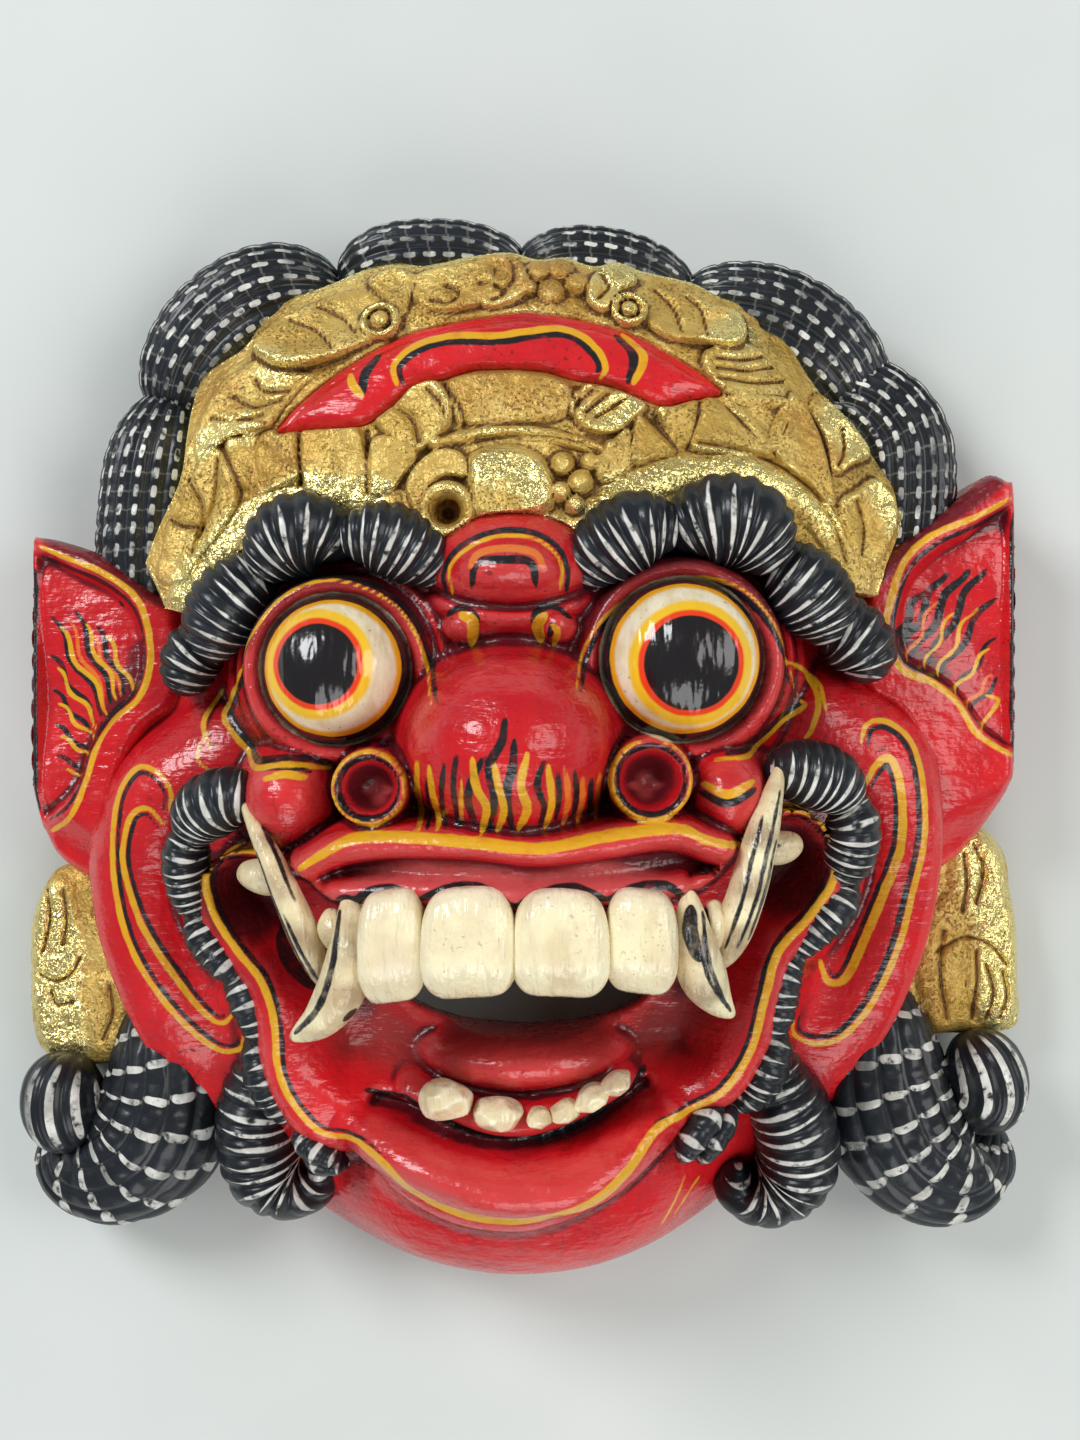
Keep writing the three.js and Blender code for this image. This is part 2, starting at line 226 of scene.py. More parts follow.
def even_out(place, edges, free, height, passes):
    """Slides free points sideways so a stretched surface gets even cells, then sets them back on it."""
    a, b = edges.T
    for _ in range(passes):
        mean = np.empty_like(place)
        weight = np.linalg.norm(place[a] - place[b], axis=1) + 0.05
        total = np.bincount(a, weight, len(place)) + np.bincount(b, weight, len(place)) + 1e-9
        for k in range(3):
            mean[:, k] = (np.bincount(a, place[b, k] * weight, len(place))
                          + np.bincount(b, place[a, k] * weight, len(place))) / total
        place[free, :2] += 0.6 * (mean[free, :2] - place[free, :2])
        place[free, 2] = height(place[free, 0], place[free, 1])
    return place


def read_mesh(mesh):
    place = np.empty(len(mesh.vertices) * 3, np.float32)
    mesh.vertices.foreach_get("co", place)
    edges = np.empty(len(mesh.edges) * 2, np.int32)
    mesh.edges.foreach_get("vertices", edges)
    return place.reshape(-1, 3).astype(float), edges.reshape(-1, 2)


def write_mesh(mesh, place):
    mesh.vertices.foreach_set("co", (place * MM).astype(np.float32).ravel())
    mesh.update()


def mark(mesh, name, values):
    """Stores a number for each point, which a material can read."""
    mesh.attributes.new(name, "FLOAT", "POINT").data.foreach_set("value", np.asarray(values, np.float32))


def mark_creases(mesh, place, edges, passes=6):
    """Marks how hollow the surface is at each point: above 0 in creases and below 0 on ridges. The materials use
    it for painted shade in the creases, painted highlights on the hair and worn ridges.
    """
    normal = np.empty(len(mesh.vertices) * 3, np.float32)
    mesh.vertices.foreach_get("normal", normal)
    a, b = edges.T
    count = np.maximum(np.bincount(a, minlength=len(place)) + np.bincount(b, minlength=len(place)), 1)
    soft = place.copy()
    for _ in range(passes):
        sums = [np.bincount(a, soft[b, k], len(place)) + np.bincount(b, soft[a, k], len(place)) for k in range(3)]
        soft = np.stack([total / count for total in sums], 1)
    mark(mesh, "crease", ((soft - place) * normal.reshape(-1, 3)).sum(1))


def brush(x, y, strokes):
    """How far inside the nearest brush stroke each point is. A stroke is (half width, points), and it
    thins towards both ends."""
    best = np.full(np.shape(x), UNPAINTED)
    for half, points in strokes:
        line = smooth_line(points, 6)
        room = half - UNPAINTED
        reach = (x > line[:, 0].min() - room) & (x < line[:, 0].max() + room)
        reach &= (y > line[:, 1].min() - room) & (y < line[:, 1].max() + room)
        if not reach.any():
            continue
        along = np.linspace(0, 1, len(line))
        away, t = nearest(np.column_stack([line[:, :2], along]), x[reach], y[reach])
        thin = 0.45 + 0.55 * np.sqrt(np.clip(4 * t * (1 - t), 0, 1))
        best[reach] = np.maximum(best[reach], half * thin - away)
    return best


class Shade:
    """A shader socket that takes sums like a number, so a mask is written as it is worked out."""

    def __init__(self, tree, socket=None):
        self.tree, self.socket = tree, socket

    def node(self, kind, settings=(), inputs=(), out=0):
        made = self.tree.nodes.new(kind)
        for name, value in dict(settings).items():
            setattr(made, name, value)
        for name, value in dict(inputs).items():
            if isinstance(value, Shade):
                self.tree.links.new(value.socket, made.inputs[name])
            else:
                made.inputs[name].default_value = value
        return Shade(self.tree, made.outputs[out] if made.outputs else None)

    def math(self, operation, a, b=0.0):
        return self.node("ShaderNodeMath", {"operation": operation}, {0: a, 1: b})

    def alone(self, operation):
        """A sum on this number alone, such as FRACT."""
        return self.math(operation, self)

    def __add__(self, other):
        return self.math("ADD", self, other)

    def __sub__(self, other):
        return self.math("SUBTRACT", self, other)

    def __rsub__(self, other):
        return self.math("SUBTRACT", other, self)

    def __mul__(self, other):
        return self.math("MULTIPLY", self, other)

    def __truediv__(self, other):
        return self.math("DIVIDE", self, other)

    def __pow__(self, other):
        return self.math("POWER", self, other)

    __radd__ = __add__
    __rmul__ = __mul__

    def rise(self, low, high):
        """0 below low, 1 above high and smooth between."""
        return self.node("ShaderNodeMapRange", {"interpolation_type": "SMOOTHSTEP"}, {0: self, 1: low, 2: high})

    def mix(self, under, over):
        """One colour over another, where this mask is 1."""
        pair = {0: self}
        for slot, colour in ((6, under), (7, over)):
            pair[slot] = colour if isinstance(colour, Shade) else (*colour, 1)
        return self.node("ShaderNodeMix", {"data_type": "RGBA"}, pair, out=2)

    def noise(self, scale, detail=3.0, stretch=(1, 1, 1), rough=0.55):
        """Cloudy variation over the piece, with about this many clouds in a metre."""
        place = self.node("ShaderNodeTexCoord", out=3)
        place = self.node("ShaderNodeMapping", (), {"Vector": place, "Scale": stretch})
        return self.node("ShaderNodeTexNoise", (), {
            "Vector": place, "Scale": scale, "Detail": detail, "Roughness": rough,
        })

    def noise_place(self):
        """The place on the piece, pushed about a little so that cells come out uneven."""
        place = self.node("ShaderNodeTexCoord", out=3)
        push = self.node("ShaderNodeTexNoise", (), {"Vector": place, "Scale": 60.0, "Detail": 3.0}, out=1)
        push = self.node("ShaderNodeVectorMath", {"operation": "SCALE"}, {0: push, 3: 0.012})
        return self.node("ShaderNodeVectorMath", {"operation": "ADD"}, {0: place, 1: push})

    def marked(self, name):
        """A number that the mesh carries at each point."""
        return self.node("ShaderNodeAttribute", {"attribute_name": name}, out=2)

    def bump(self, height, distance, under=None, strength=1.0):
        inputs = {"Height": height, "Distance": distance, "Strength": strength}
        if under:
            inputs["Normal"] = under
        return self.node("ShaderNodeBump", (), inputs)


def new_material(name, paint):
    """A material on one principled shader. The paint function returns what goes into its sockets."""
    material = bpy.data.materials.new(name)
    material.use_nodes = True
    tree = material.node_tree
    tree.nodes.clear()
    surface = Shade(tree).node("ShaderNodeBsdfPrincipled", (), paint(Shade(tree)))
    Shade(tree).node("ShaderNodeOutputMaterial", (), {"Surface": surface})
    return material


def red_paint(s):
    """Gloss red over sealed wood: blackened in the creases by painted shade and dirt, worn pinkish on the ridges
    and dotted with dirt.
    """
    crease = s.marked("crease")
    patchy = s.noise(38, 4)
    strokes = s.noise(60, 4, stretch=(5, 1, 1)) + s.noise(75, 3, stretch=(1, 5, 1))
    colour = s.noise(16, 3).rise(0.35, 0.68).mix((0.50, 0.006, 0.011), (0.64, 0.012, 0.017))
    colour = (strokes.rise(0.95, 1.25) * 0.35).mix(colour, (0.40, 0.010, 0.018))
    colour = (patchy.rise(0.5, 0.7) * 0.4).mix(colour, (0.62, 0.03, 0.035))
    colour = (s.noise(27, 4).rise(0.52, 0.68) * 0.5).mix(colour, (0.36, 0.008, 0.016))
    # painted shade: the creases go near black, mixed with patches of dirt
    grime_and_shade = crease + (patchy - 0.5) * 0.35 + (s.noise(260, 3) - 0.5) * 0.25
    colour = (grime_and_shade.rise(0.07, 0.5) * 0.92).mix(colour, (0.085, 0.006, 0.011))
    colour = ((0 - crease + (s.noise(90, 4) - 0.55) * 0.6).rise(0.10, 0.4) * 0.3).mix(colour, (0.70, 0.12, 0.11))
    dirt = s.noise(720, 2).rise(0.60, 0.70) * s.noise(48, 4).rise(0.46, 0.66)
    colour = (dirt * 0.7).mix(colour, (0.06, 0.012, 0.012))
    cracks = s.node("ShaderNodeTexVoronoi", {"feature": "DISTANCE_TO_EDGE"},
                    {"Vector": s.noise_place(), "Scale": 95.0})
    cracks = (1 - cracks.rise(0.004, 0.014)) * s.noise(34, 3).rise(0.56, 0.66)
    return (cracks * 0.75).mix(colour, (0.07, 0.012, 0.012))


def red_gloss(s, colour):
    """A glossy coat of this colour, with brush ridges, knife marks and small pits in it."""
    ridges = s.noise(70, 3, stretch=(1, 4, 1)) * 0.5 + s.noise(42, 4) * 1.8
    return {
        "Base Color": colour, "Roughness": 0.1 + s.noise(120, 4) * 0.3, "Specular IOR Level": 0.5,
        "Normal": s.bump(s.noise(420, 3), 0.0004, s.bump(ridges, 0.0022, strength=0.6), 0.6),
    }


LINE_BLUR = 0.22


def lined(s, colour, name, over, blur=LINE_BLUR):
    """One brush colour laid where the mesh says a stroke is, its edge a little unsteady."""
    mask = (s.marked(name) + (s.noise(260, 2) - 0.5) * 0.7).rise(-blur, blur)
    thin = s.noise(240, 3).rise(0.25, 0.5)
    return (mask * (0.7 + thin * 0.3)).mix(colour, over)


YELLOW = (0.70, 0.36, 0.015)
ORANGE = (0.72, 0.16, 0.02)
LINE_BLACK = (0.012, 0.011, 0.013)
CREAM = (0.78, 0.66, 0.44)


def face_finish(s):
    """Red with brushed lines on the front, bare wood inside the hollow."""
    colour = red_paint(s)
    # the two dimmer reds after the pink are painted shade, in the mouth and round the eyes
    for name, over, blur in (
        ("pink", (0.54, 0.075, 0.075), 1.6), ("dull", (0.30, 0.028, 0.026), 5.0),
        ("dark", (0.10, 0.008, 0.012), 2.5), ("black", LINE_BLACK, LINE_BLUR), ("orange", ORANGE, LINE_BLUR),
        ("yellow", YELLOW, LINE_BLUR), ("cream", CREAM, LINE_BLUR),
    ):
        colour = lined(s, colour, name, over, blur)
    raw = s.marked("raw")
    grain = s.noise(30, 4, stretch=(14, 1, 14))
    wood = grain.rise(0.3, 0.7).mix((0.20, 0.11, 0.05), (0.42, 0.27, 0.14))
    finish = red_gloss(s, raw.mix(colour, wood))
    finish["Roughness"] = finish["Roughness"] + raw * 0.4
    finish["Normal"] = s.bump(grain, 0.0003, finish["Normal"], 0.25)
    return finish


def raise_front(sheet, name):
    """Closes a flat sheet with a second one above it, whose cells are half the size. Returns the mesh,
    its points and edges, which points are on the front and which are where front and back meet."""
    layer = sheet.verts.layers.float.new("front")
    lifted = bmesh.ops.extrude_face_region(
        sheet, geom=sheet.faces[:] + sheet.edges[:] + sheet.verts[:], use_keep_orig=True)
    for vert in (g for g in lifted["geom"] if isinstance(g, bmesh.types.BMVert)):
        vert.co.z = 20  # clear of the back for now: the carved heights come later
        vert[layer] = 1
    bmesh.ops.subdivide_edges(
        sheet, edges=[e for e in sheet.edges if all(v[layer] == 1 for v in e.verts)], cuts=1, use_grid_fill=True)
    bmesh.ops.recalc_face_normals(sheet, faces=sheet.faces[:])
    mesh = bpy.data.meshes.new(name)
    sheet.to_mesh(mesh)
    sheet.free()
    place, edges = read_mesh(mesh)
    front = np.empty(len(place), np.float32)
    mesh.attributes["front"].data.foreach_get("value", front)
    mesh.attributes.remove(mesh.attributes["front"])
    front = front > 0.99
    meeting = np.zeros(len(place), bool)
    meeting[edges[front[edges[:, 0]] != front[edges[:, 1]]].ravel()] = True
    return mesh, place, edges, front, meeting


def hole_reach(point):
    """Below 1 inside the oval that is cut through the mouth."""
    hx, hy, half_x, half_y = MOUTH_HOLE
    return (((point.x - hx) / half_x) ** 2 + ((point.y - hy) / half_y) ** 2) ** 0.5


head = bmesh.new()
cells = 132
bmesh.ops.create_grid(head, x_segments=cells, y_segments=cells, size=1.0)
for vert in head.verts:
    u, v = vert.co.x, vert.co.y
    vert.co.x = BLOCK_MIDDLE[0] + BLOCK_HALF[0] * u * (1 - v * v / 2) ** 0.5
    vert.co.y = BLOCK_MIDDLE[1] + BLOCK_HALF[1] * v * (1 - u * u / 2) ** 0.5
cut_out = [face for face in head.faces if min(hole_reach(vert.co) for vert in face.verts) < 0.96]
bmesh.ops.delete(head, geom=cut_out, context="FACES")
for vert in head.verts:
    reach = hole_reach(vert.co)
    if vert.is_boundary and reach < 1.4:
        vert.co.x = MOUTH_HOLE[0] + (vert.co.x - MOUTH_HOLE[0]) / reach
        vert.co.y = MOUTH_HOLE[1] + (vert.co.y - MOUTH_HOLE[1]) / reach
head_mesh, place, edges, on_front, open_edge = raise_front(head, "head")
place[on_front, 2] = face_height(place[on_front, 0], place[on_front, 1])
front_edges = edges[on_front[edges].all(1)]
meet = np.bincount(front_edges.ravel(), minlength=len(place))
free = on_front & (meet == 4) & ~open_edge
place = even_out(place, front_edges, free, face_height, 5)
place[~on_front, 2] = hollow_height(place[~on_front, 0], place[~on_front, 1])
write_mesh(head_mesh, place)


def beside(points, shift):
    """The same line moved sideways, for a second colour that is laid along the first."""
    line = smooth_line(points, 3)
    run = np.gradient(line, axis=0)
    run /= np.linalg.norm(run, axis=1)[:, None] + 1e-9
    return np.column_stack([line[:, 0] - run[:, 1] * shift, line[:, 1] + run[:, 0] * shift])[::2]


def loop(x, y, radius, start=0, end=360, count=14, grow=0.0):
    """Points round part of a circle, in degrees from the right, this much outside its radius."""
    turn = np.radians(np.linspace(start, end, count))
    radius = radius + grow
    return np.column_stack([x + radius * np.cos(turn), y + radius * np.sin(turn)])


lip_edge = [(-56, -31.5), (-49, -27), (-42, -23.5), (-31, -22.8), (-12, -24), (5, -25.5), (22, -22.5),
            (39, -20.8), (47, -24), (57, -26)]
mouth_line_left = [(-60, -31), (-70, -28.5), (-80, -29.5), (-84.5, -36), (-82.5, -46), (-76, -56), (-70, -63.5),
                   (-66.5, -74), (-65.5, -88), (-61.5, -98), (-54, -106), (-44, -107), (-37, -111)]
mouth_line_low = [(-44, -107), (-37, -111), (-29, -118.5), (-16, -124.5), (-2, -126), (8, -124), (20, -119),
                  (29, -111.5), (36, -103.5), (46, -99.5)]
mouth_line_right = [(36, -103.5), (46, -99.5), (55, -94), (62, -82.5), (65.5, -68), (69, -56), (76.5, -47.5),
                    (83, -38), (84.5, -28.5), (78.5, -19.5), (69, -17), (60, -19)]
cheek_outer_left = [(-98, -19), (-97.5, -13.5), (-101, -8.7), (-107, -6.7), (-112, -11.5), (-114.3, -20),
                    (-114.8, -36), (-112.8, -48.6), (-109, -60), (-102, -72), (-93.5, -82.5), (-86, -88),
                    (-80, -87), (-78.5, -82)]
cheek_inner_left = [(-99.8, -23), (-104, -18.3), (-109, -20.3), (-111.4, -28), (-111.4, -36), (-107, -50.6),
                    (-99, -65), (-91, -76.5), (-85.6, -80), (-82, -77)]
cheek_outer_right = [(93.7, 0), (95.6, 5), (101.6, 6), (108.4, 1), (111.5, -8.7), (112.5, -22), (111.8, -30),
                     (109.4, -41), (105.6, -58), (99, -74), (91, -84), (83, -86), (77, -82.5), (76.7, -75)]
cheek_inner_right = [(95, -12), (98, -6), (102.4, -4.7), (105.2, -13.5), (105.6, -28), (101.8, -41), (96, -58),
                     (91.5, -67.5), (87, -68), (84.5, -62)]
socket_left = [(-22, 10), (-24.3, 18.8), (-28.2, 30), (-36, 38.5), (-49.8, 43), (-62, 39), (-70.5, 29), (-76, 20)]
socket_right = [(14, 14), (17, 26), (25, 36), (40, 43.5), (55, 42), (64, 35), (70, 25), (77, 12)]
eye_corner_left = [(-76, 20), (-81, 12), (-83, 7), (-77, -1), (-70, -6), (-60, -5), (-50, -6.5)]
eye_corner_right = [(77, 12), (78, 10), (72, 6), (66, 1), (60, -3), (50, -4)]
urna_arc = [(-17.7, 39), (-18.2, 46), (-12, 51.5), (-3.5, 53.8), (5, 52.4), (10.3, 47), (10.3, 40)]
urna_bar = [(-12.5, 40.5), (-11, 46.3), (-4, 47), (2.6, 46.3), (4, 40.5)]
nose_waves = [
    ("yellow", 0.9, [(-25.6, -4), (-26.2, -12), (-25.4, -21)]), ("black", 0.7, [(-23.6, -8), (-23.3, -21)]),
    ("yellow", 0.9, [(-22.4, -5), (-21.8, -12), (-20.6, -21)]),
    ("black", 0.8, [(-18.2, -4), (-19.4, -12), (-19, -21)]),
    ("black", 0.8, [(-15.2, -2), (-16.2, -10), (-15.4, -21)]), ("yellow", 0.6, [(-14.2, -8), (-14.6, -19)]),
    ("black", 1.1, [(-8.9, -3), (-12.6, -12), (-11.2, -20)]),
    ("yellow", 1.1, [(-11.3, -3), (-10.4, -10.2), (-8.1, -15.2), (-9.6, -21.6)]),
    ("black", 1.2, [(-3.4, 6.6), (-4.2, 1), (-7.2, -5), (-6.1, -12.7), (-7.8, -21.5)]),
    ("yellow", 1.0, [(-6.2, -4), (-4.5, -12), (-3.8, -16), (-5.6, -21.4)]),
    ("black", 1.2, [(-1.2, 1.4), (-1.6, -5), (-3, -11.7), (-2, -21)]),
    ("yellow", 1.1, [(2, -1.5), (0.4, -9.5), (1.9, -15.6), (-0.6, -21.2)]),
    ("black", 0.9, [(5.9, -3.5), (4.3, -9.4), (6, -15), (4.8, -20.8)]),
    ("yellow", 0.9, [(6.9, -4.6), (7.9, -14), (6.3, -20.9)]), ("black", 0.8, [(9.4, -6), (9.7, -13), (8.8, -19)]),
    ("orange", 0.8, [(11, -5), (12, -13), (10.8, -20.5)]), ("black", 0.8, [(13.5, -6), (14.1, -13), (13, -19.5)]),
    ("orange", 0.8, [(15.6, -8), (15.6, -14), (14.6, -20)]), ("black", 0.8, [(17.8, -8), (17.6, -19)]),
    ("orange", 0.7, [(20, -7), (19.4, -19.5)]), ("black", 0.7, [(22.2, -9), (22, -17)]),
]
strokes = {
    "yellow": [
        (1.45, lip_edge), (1.0, mouth_line_left), (1.6, mouth_line_low), (1.15, mouth_line_right),
        (0.9, cheek_outer_left), (0.9, cheek_inner_left), (0.95, cheek_outer_right), (1.2, cheek_inner_right),
        (0.55, socket_left), (0.5, socket_right), (0.8, eye_corner_left), (0.7, eye_corner_right),
        (0.6, urna_arc), (0.7, loop(*WINGS["left"], 0, 360, 18, -0.4)),
        (0.75, loop(*WINGS["right"], 100, 440, 18, -0.4)),
        (1.0, [(-66, -9), (-60.5, -7.6), (-55, -8.6)]), (1.2, [(47, -10), (53, -12.6), (60, -9.5)]),
        (0.8, [(-84, 15), (-89, 6), (-86, -2)]), (0.5, [(-87, 4), (-90, -4), (-85, -9)]),
        (0.8, [(73, 22), (79, 19.5), (82, 12), (80, 4), (78, 1)]), (0.5, [(76, 22), (82.5, 17), (84, 9)]),
        (1.5, [(-15.6, 33.8), (-12.4, 31.5), (-13, 26)]), (1.5, [(6.4, 33.6), (4.4, 31), (5.4, 27)]),
        (0.9, [(8, 31), (9.6, 29), (8.6, 26)]), (0.35, [(39, -137), (43, -129), (46, -122)]),
        (0.35, [(43, -134), (48, -127), (51, -124)]),
    ],
    "orange": [(1.1, [(-13, 45), (-10.5, 49), (-3.5, 50.2), (3.5, 49), (6, 45)])],
    "black": [
        (0.7, beside(mouth_line_left, 1.6)), (0.7, beside(mouth_line_right, 1.7)),
        (0.7, beside(cheek_outer_left, 1.7)), (0.7, beside(cheek_inner_left, 1.7)),
        (0.9, beside(cheek_outer_right, -1.9)), (0.7, beside(cheek_inner_right, -1.9)),
        (0.9, beside(socket_left, -1.5)), (0.9, beside(socket_right, -1.4)),
        (1.1, beside(eye_corner_left, 1.7)), (1.0, beside(eye_corner_right, -1.5)),
        (0.9, beside(urna_arc, 1.5)), (1.2, urna_bar),
        *[(0.8, loop(*wing, grow=-1.8)) for wing in WINGS.values()],
        (0.8, [(-68, -6.4), (-60.5, -5.8), (-54, -7)]), (1.1, [(46, -12), (53, -15), (60.5, -11.5)]),
        (0.5, beside([(-84, 15), (-89, 6), (-86, -2)], 1.4)),
        (1.0, [(-19.5, 33.5), (-15.6, 35.6), (-11.6, 33), (-12.4, 28)]),
        (1.0, [(4, 28), (3.6, 33.6), (8, 36), (13, 33)]), (1.0, [(8.4, 31.4), (7.4, 28)]),
        (1.2, [(-41.5, -45), (-40.5, -38.5), (-33, -36), (-24.8, -38.5)]),
        (1.3, [(-24.6, -38.5), (-17, -35.6), (-9, -36), (-1.4, -40.4)]),
        (1.3, [(-1.6, -40.4), (6, -36.8), (14, -35.8), (21.6, -38.6)]),
        (1.2, [(21.6, -38.6), (30, -35.6), (38, -36), (43, -41)]),
        (1.4, [(-47, -45), (-46, -39.8), (-42.4, -39.6), (-41, -42)]),
        (1.5, [(-31, -96), (-24, -101), (-10, -105.8), (4, -107.2), (17, -103.6), (28, -96), (34, -90)]),
        (0.9, [(-43, -95), (-37, -96.5), (-31, -95.5)]), (4.2, [(-66, -51), (-61, -59), (-55, -67)]),
        (3.0, [(60, -46), (57, -54), (53, -61)]),
    ],
    "cream": [(0.75, loop(*eye, 0, 360, 24, 0.6)) for eye in EYES.values()],
    "pink": [(3.6, [(-36.6, -10.5), (-36.4, -13)]), (4.2, [(32, -9), (32, -11.5)]),
             (2.4, [(-46, -110), (-30, -115), (-16, -119.5)]),
             (3.4, [(-50, -40), (-32, -33.5), (-13, -33.5), (3, -35.5), (22, -33), (44, -38)])],
    # painted shade: a dimmer red on the walls and floor inside the mouth
    "dull": [(8, [(-52, -74), (-42, -80), (-32, -86)]), (4, [(-20, -80), (0, -79), (24, -80)]),
             (8, [(50, -68), (43, -76), (34, -84)])],
    # painted shade: a band over each eye under the brows, and patches in the corners and on the walls inside the
    # mouth
    "dark": [
        *[(2.6, loop(*eye, 25, 165, grow=5.6)) for eye in EYES.values()],
        *[(2.0, loop(*eye, 35, 150, grow=10.8)) for eye in EYES.values()],
        (9, [(-76, -34), (-77, -42), (-72, -50)]), (8, [(76, -26), (75, -35), (69, -44)]),
        (6, [(-60, -56), (-50, -64), (-44, -74)]), (5, [(56, -50), (50, -60), (44, -70)]),
    ],
}
for colour, half, points in nose_waves:
    strokes[colour].append((half, points))

x, y = place[:, 0], place[:, 1]
for colour in ("yellow", "orange", "black", "cream", "pink", "dull", "dark"):
    painted = brush(x, y, strokes[colour])
    mark(head_mesh, colour, np.where(on_front, painted, UNPAINTED))
mark(head_mesh, "raw", ~on_front & ~open_edge)
mark_creases(head_mesh, place, edges)
head_mesh.materials.append(new_material("red_gloss_paint", face_finish))


def settle(name, mesh):
    """Puts a finished piece into the scene, as part of the mask."""
    piece = bpy.data.objects.new(name, mesh)
    bpy.context.scene.collection.objects.link(piece)
    mesh.polygons.foreach_set("use_smooth", np.ones(len(mesh.polygons), bool))
    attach(piece, "root")
    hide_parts("mask")


settle("head_block", head_mesh)


# ---------------------------------------------------------------- eyes
# Two bulging balls carved with the block and painted in rings: a black pupil, then red, yellow, cream,
# orange and a thin black line, all in gloss paint. The pupils don't sit quite in the middle.
BALL_MIDDLE, BALL_FRONT, BALL_BACK = 77.5, 19, 9  # height of the middle, and how far it bulges each way


def eye_finish(ball, iris, pupil, radius):
    """Rings of paint: the inner ones round the iris's middle, the outer ones round the ball's."""
    def finish(s):
        place = s.node("ShaderNodeTexCoord", out=3)

        def away(middle):
            level = s.node("ShaderNodeVectorMath", {"operation": "MULTIPLY"}, {0: place, 1: (1, 1, 0)})
            shift = s.node("ShaderNodeVectorMath", {"operation": "DISTANCE"},
                           {0: level, 1: (middle[0] * MM, middle[1] * MM, 0)}, out=1)
            return shift * 1000 + (s.noise(120, 2) - 0.5) * 0.8

        inner, outer = away(iris), away(ball)
        colour = s.noise(150, 3).rise(0.4, 0.7).mix((0.80, 0.72, 0.52), (0.70, 0.58, 0.36))
        colour = (s.noise(700, 2).rise(0.66, 0.74) * 0.7).mix(colour, (0.25, 0.18, 0.1))
        colour = (1 - inner.rise(pupil + 3.4, pupil + 4.6)).mix(colour, (0.83, 0.50, 0.02))
        colour = (1 - inner.rise(pupil + 1.2, pupil + 2.0)).mix(colour, (0.78, 0.05, 0.01))
        colour = outer.rise(radius - 3.1, radius - 2.0).mix(colour, (0.80, 0.36, 0.01))
        colour = outer.rise(radius - 1.5, radius - 1.1).mix(colour, LINE_BLACK)
        colour = (1 - inner.rise(pupil - 0.1, pupil + 0.35)).mix(colour, (0.010, 0.008, 0.009))
        return {"Base Color": colour, "Roughness": 0.08 + s.noise(90, 3) * 0.2, "Specular IOR Level": 0.6,
                "Normal": s.bump(s.noise(120, 3) + s.noise(45, 3, stretch=(2.5, 0.6, 1)) * 5, 0.0004)}
    return finish


for name, iris, pupil in (("left", (-51.6, 20.6), 10.2), ("right", (43.6, 20.8), 12.0)):
    ex, ey, radius = EYES[name]
    eye = bmesh.new()
    bmesh.ops.create_uvsphere(eye, u_segments=72, v_segments=48, radius=1.0)
    for vert in eye.verts:
        z = vert.co.z
        bulge = BALL_FRONT if z > 0 else BALL_BACK
        vert.co = (ex + vert.co.x * radius * 1.03, ey + vert.co.y * radius * 1.03, BALL_MIDDLE + z * bulge)
    bmesh.ops.scale(eye, vec=(MM, MM, MM), verts=eye.verts)
    mesh = bpy.data.meshes.new(f"eye_{name}")
    eye.to_mesh(mesh)
    eye.free()
    mesh.materials.append(new_material(f"eye_rings_{name}", eye_finish((ex, ey), iris, pupil, radius)))
    settle(f"eye_{name}", mesh)


# ---------------------------------------------------------------- teeth, fangs and tusks
# Carved with the block and painted bone white: four broad upper teeth, a fang and a small root tooth at
# each end of them, a long blade rising past each lip, a tooth in each corner and six small worn ones
# below. Brown dirt and painted shade lie round their roots and in their creases.
TOOTH_BARE = -4.0  # marks the parts of a tooth that no line is painted on
WOOD_LEFT = 2.5  # the least wood between the gouged hollow and a piece's back


def bone_finish(s):
    crease = s.marked("crease")
    cloud = s.noise(70, 4)
    colour = cloud.rise(0.4, 0.72).mix((0.88, 0.79, 0.50), (0.72, 0.56, 0.32))
    colour = ((0 - crease + (cloud - 0.5) * 0.4).rise(-0.05, 0.35) * 0.6).mix(colour, (0.90, 0.86, 0.68))
    # painted shade with dirt: brown in the creases and round the roots
    colour = ((crease + (s.noise(150, 3) - 0.5) * 0.3).rise(0.03, 0.3) * 0.75).mix(colour, (0.24, 0.13, 0.06))
    colour = (s.noise(45, 3, stretch=(2.5, 0.7, 1)).rise(0.5, 0.66) * 0.5).mix(colour, (0.66, 0.50, 0.28))
    specks = s.noise(900, 2).rise(0.63, 0.71) * s.noise(60, 2).rise(0.4, 0.6)
    colour = (specks * 0.45).mix(colour, (0.20, 0.14, 0.09))
    colour = lined(s, colour, "black", LINE_BLACK)
    return {"Base Color": colour, "Roughness": 0.14 + s.noise(110, 3) * 0.24, "Specular IOR Level": 0.55,
            "Normal": s.bump(s.noise(300, 3) + s.noise(60, 3, stretch=(3, 0.8, 1)) * 5, 0.0005)}


bone_white = new_material("bone_white_paint", bone_finish)


def finish_piece(name, mesh, place, edges, material, passes=5):
    """Writes a piece's points, marks its creases and puts it in the scene. Its back is pressed in where
    it would pass the rim or show inside the hollow."""
    hollow = hollow_height(place[:, 0], place[:, 1])
    place[:, 2] = np.maximum(place[:, 2], np.where(hollow > 0, hollow + WOOD_LEFT, 0))
    write_mesh(mesh, place)
    mark_creases(mesh, place, edges, passes)
    mesh.materials.append(material)
    settle(name, mesh)


def ball_mesh(name, columns, rows):
    """A round ball of radius 1 to be shaped, with its points and edges."""
    ball = bmesh.new()
    bmesh.ops.create_uvsphere(ball, u_segments=columns, v_segments=rows, radius=1.0)
    mesh = bpy.data.meshes.new(name)
    ball.to_mesh(mesh)
    ball.free()
    return (mesh, *read_mesh(mesh))


def path(points):
    """A soft path through a few points, and how far along it each of its own points is."""
    line = smooth_line(points, 12)
    return line, np.concatenate([[0], np.cumsum(np.linalg.norm(np.diff(line[:, :3], axis=0), axis=1))])


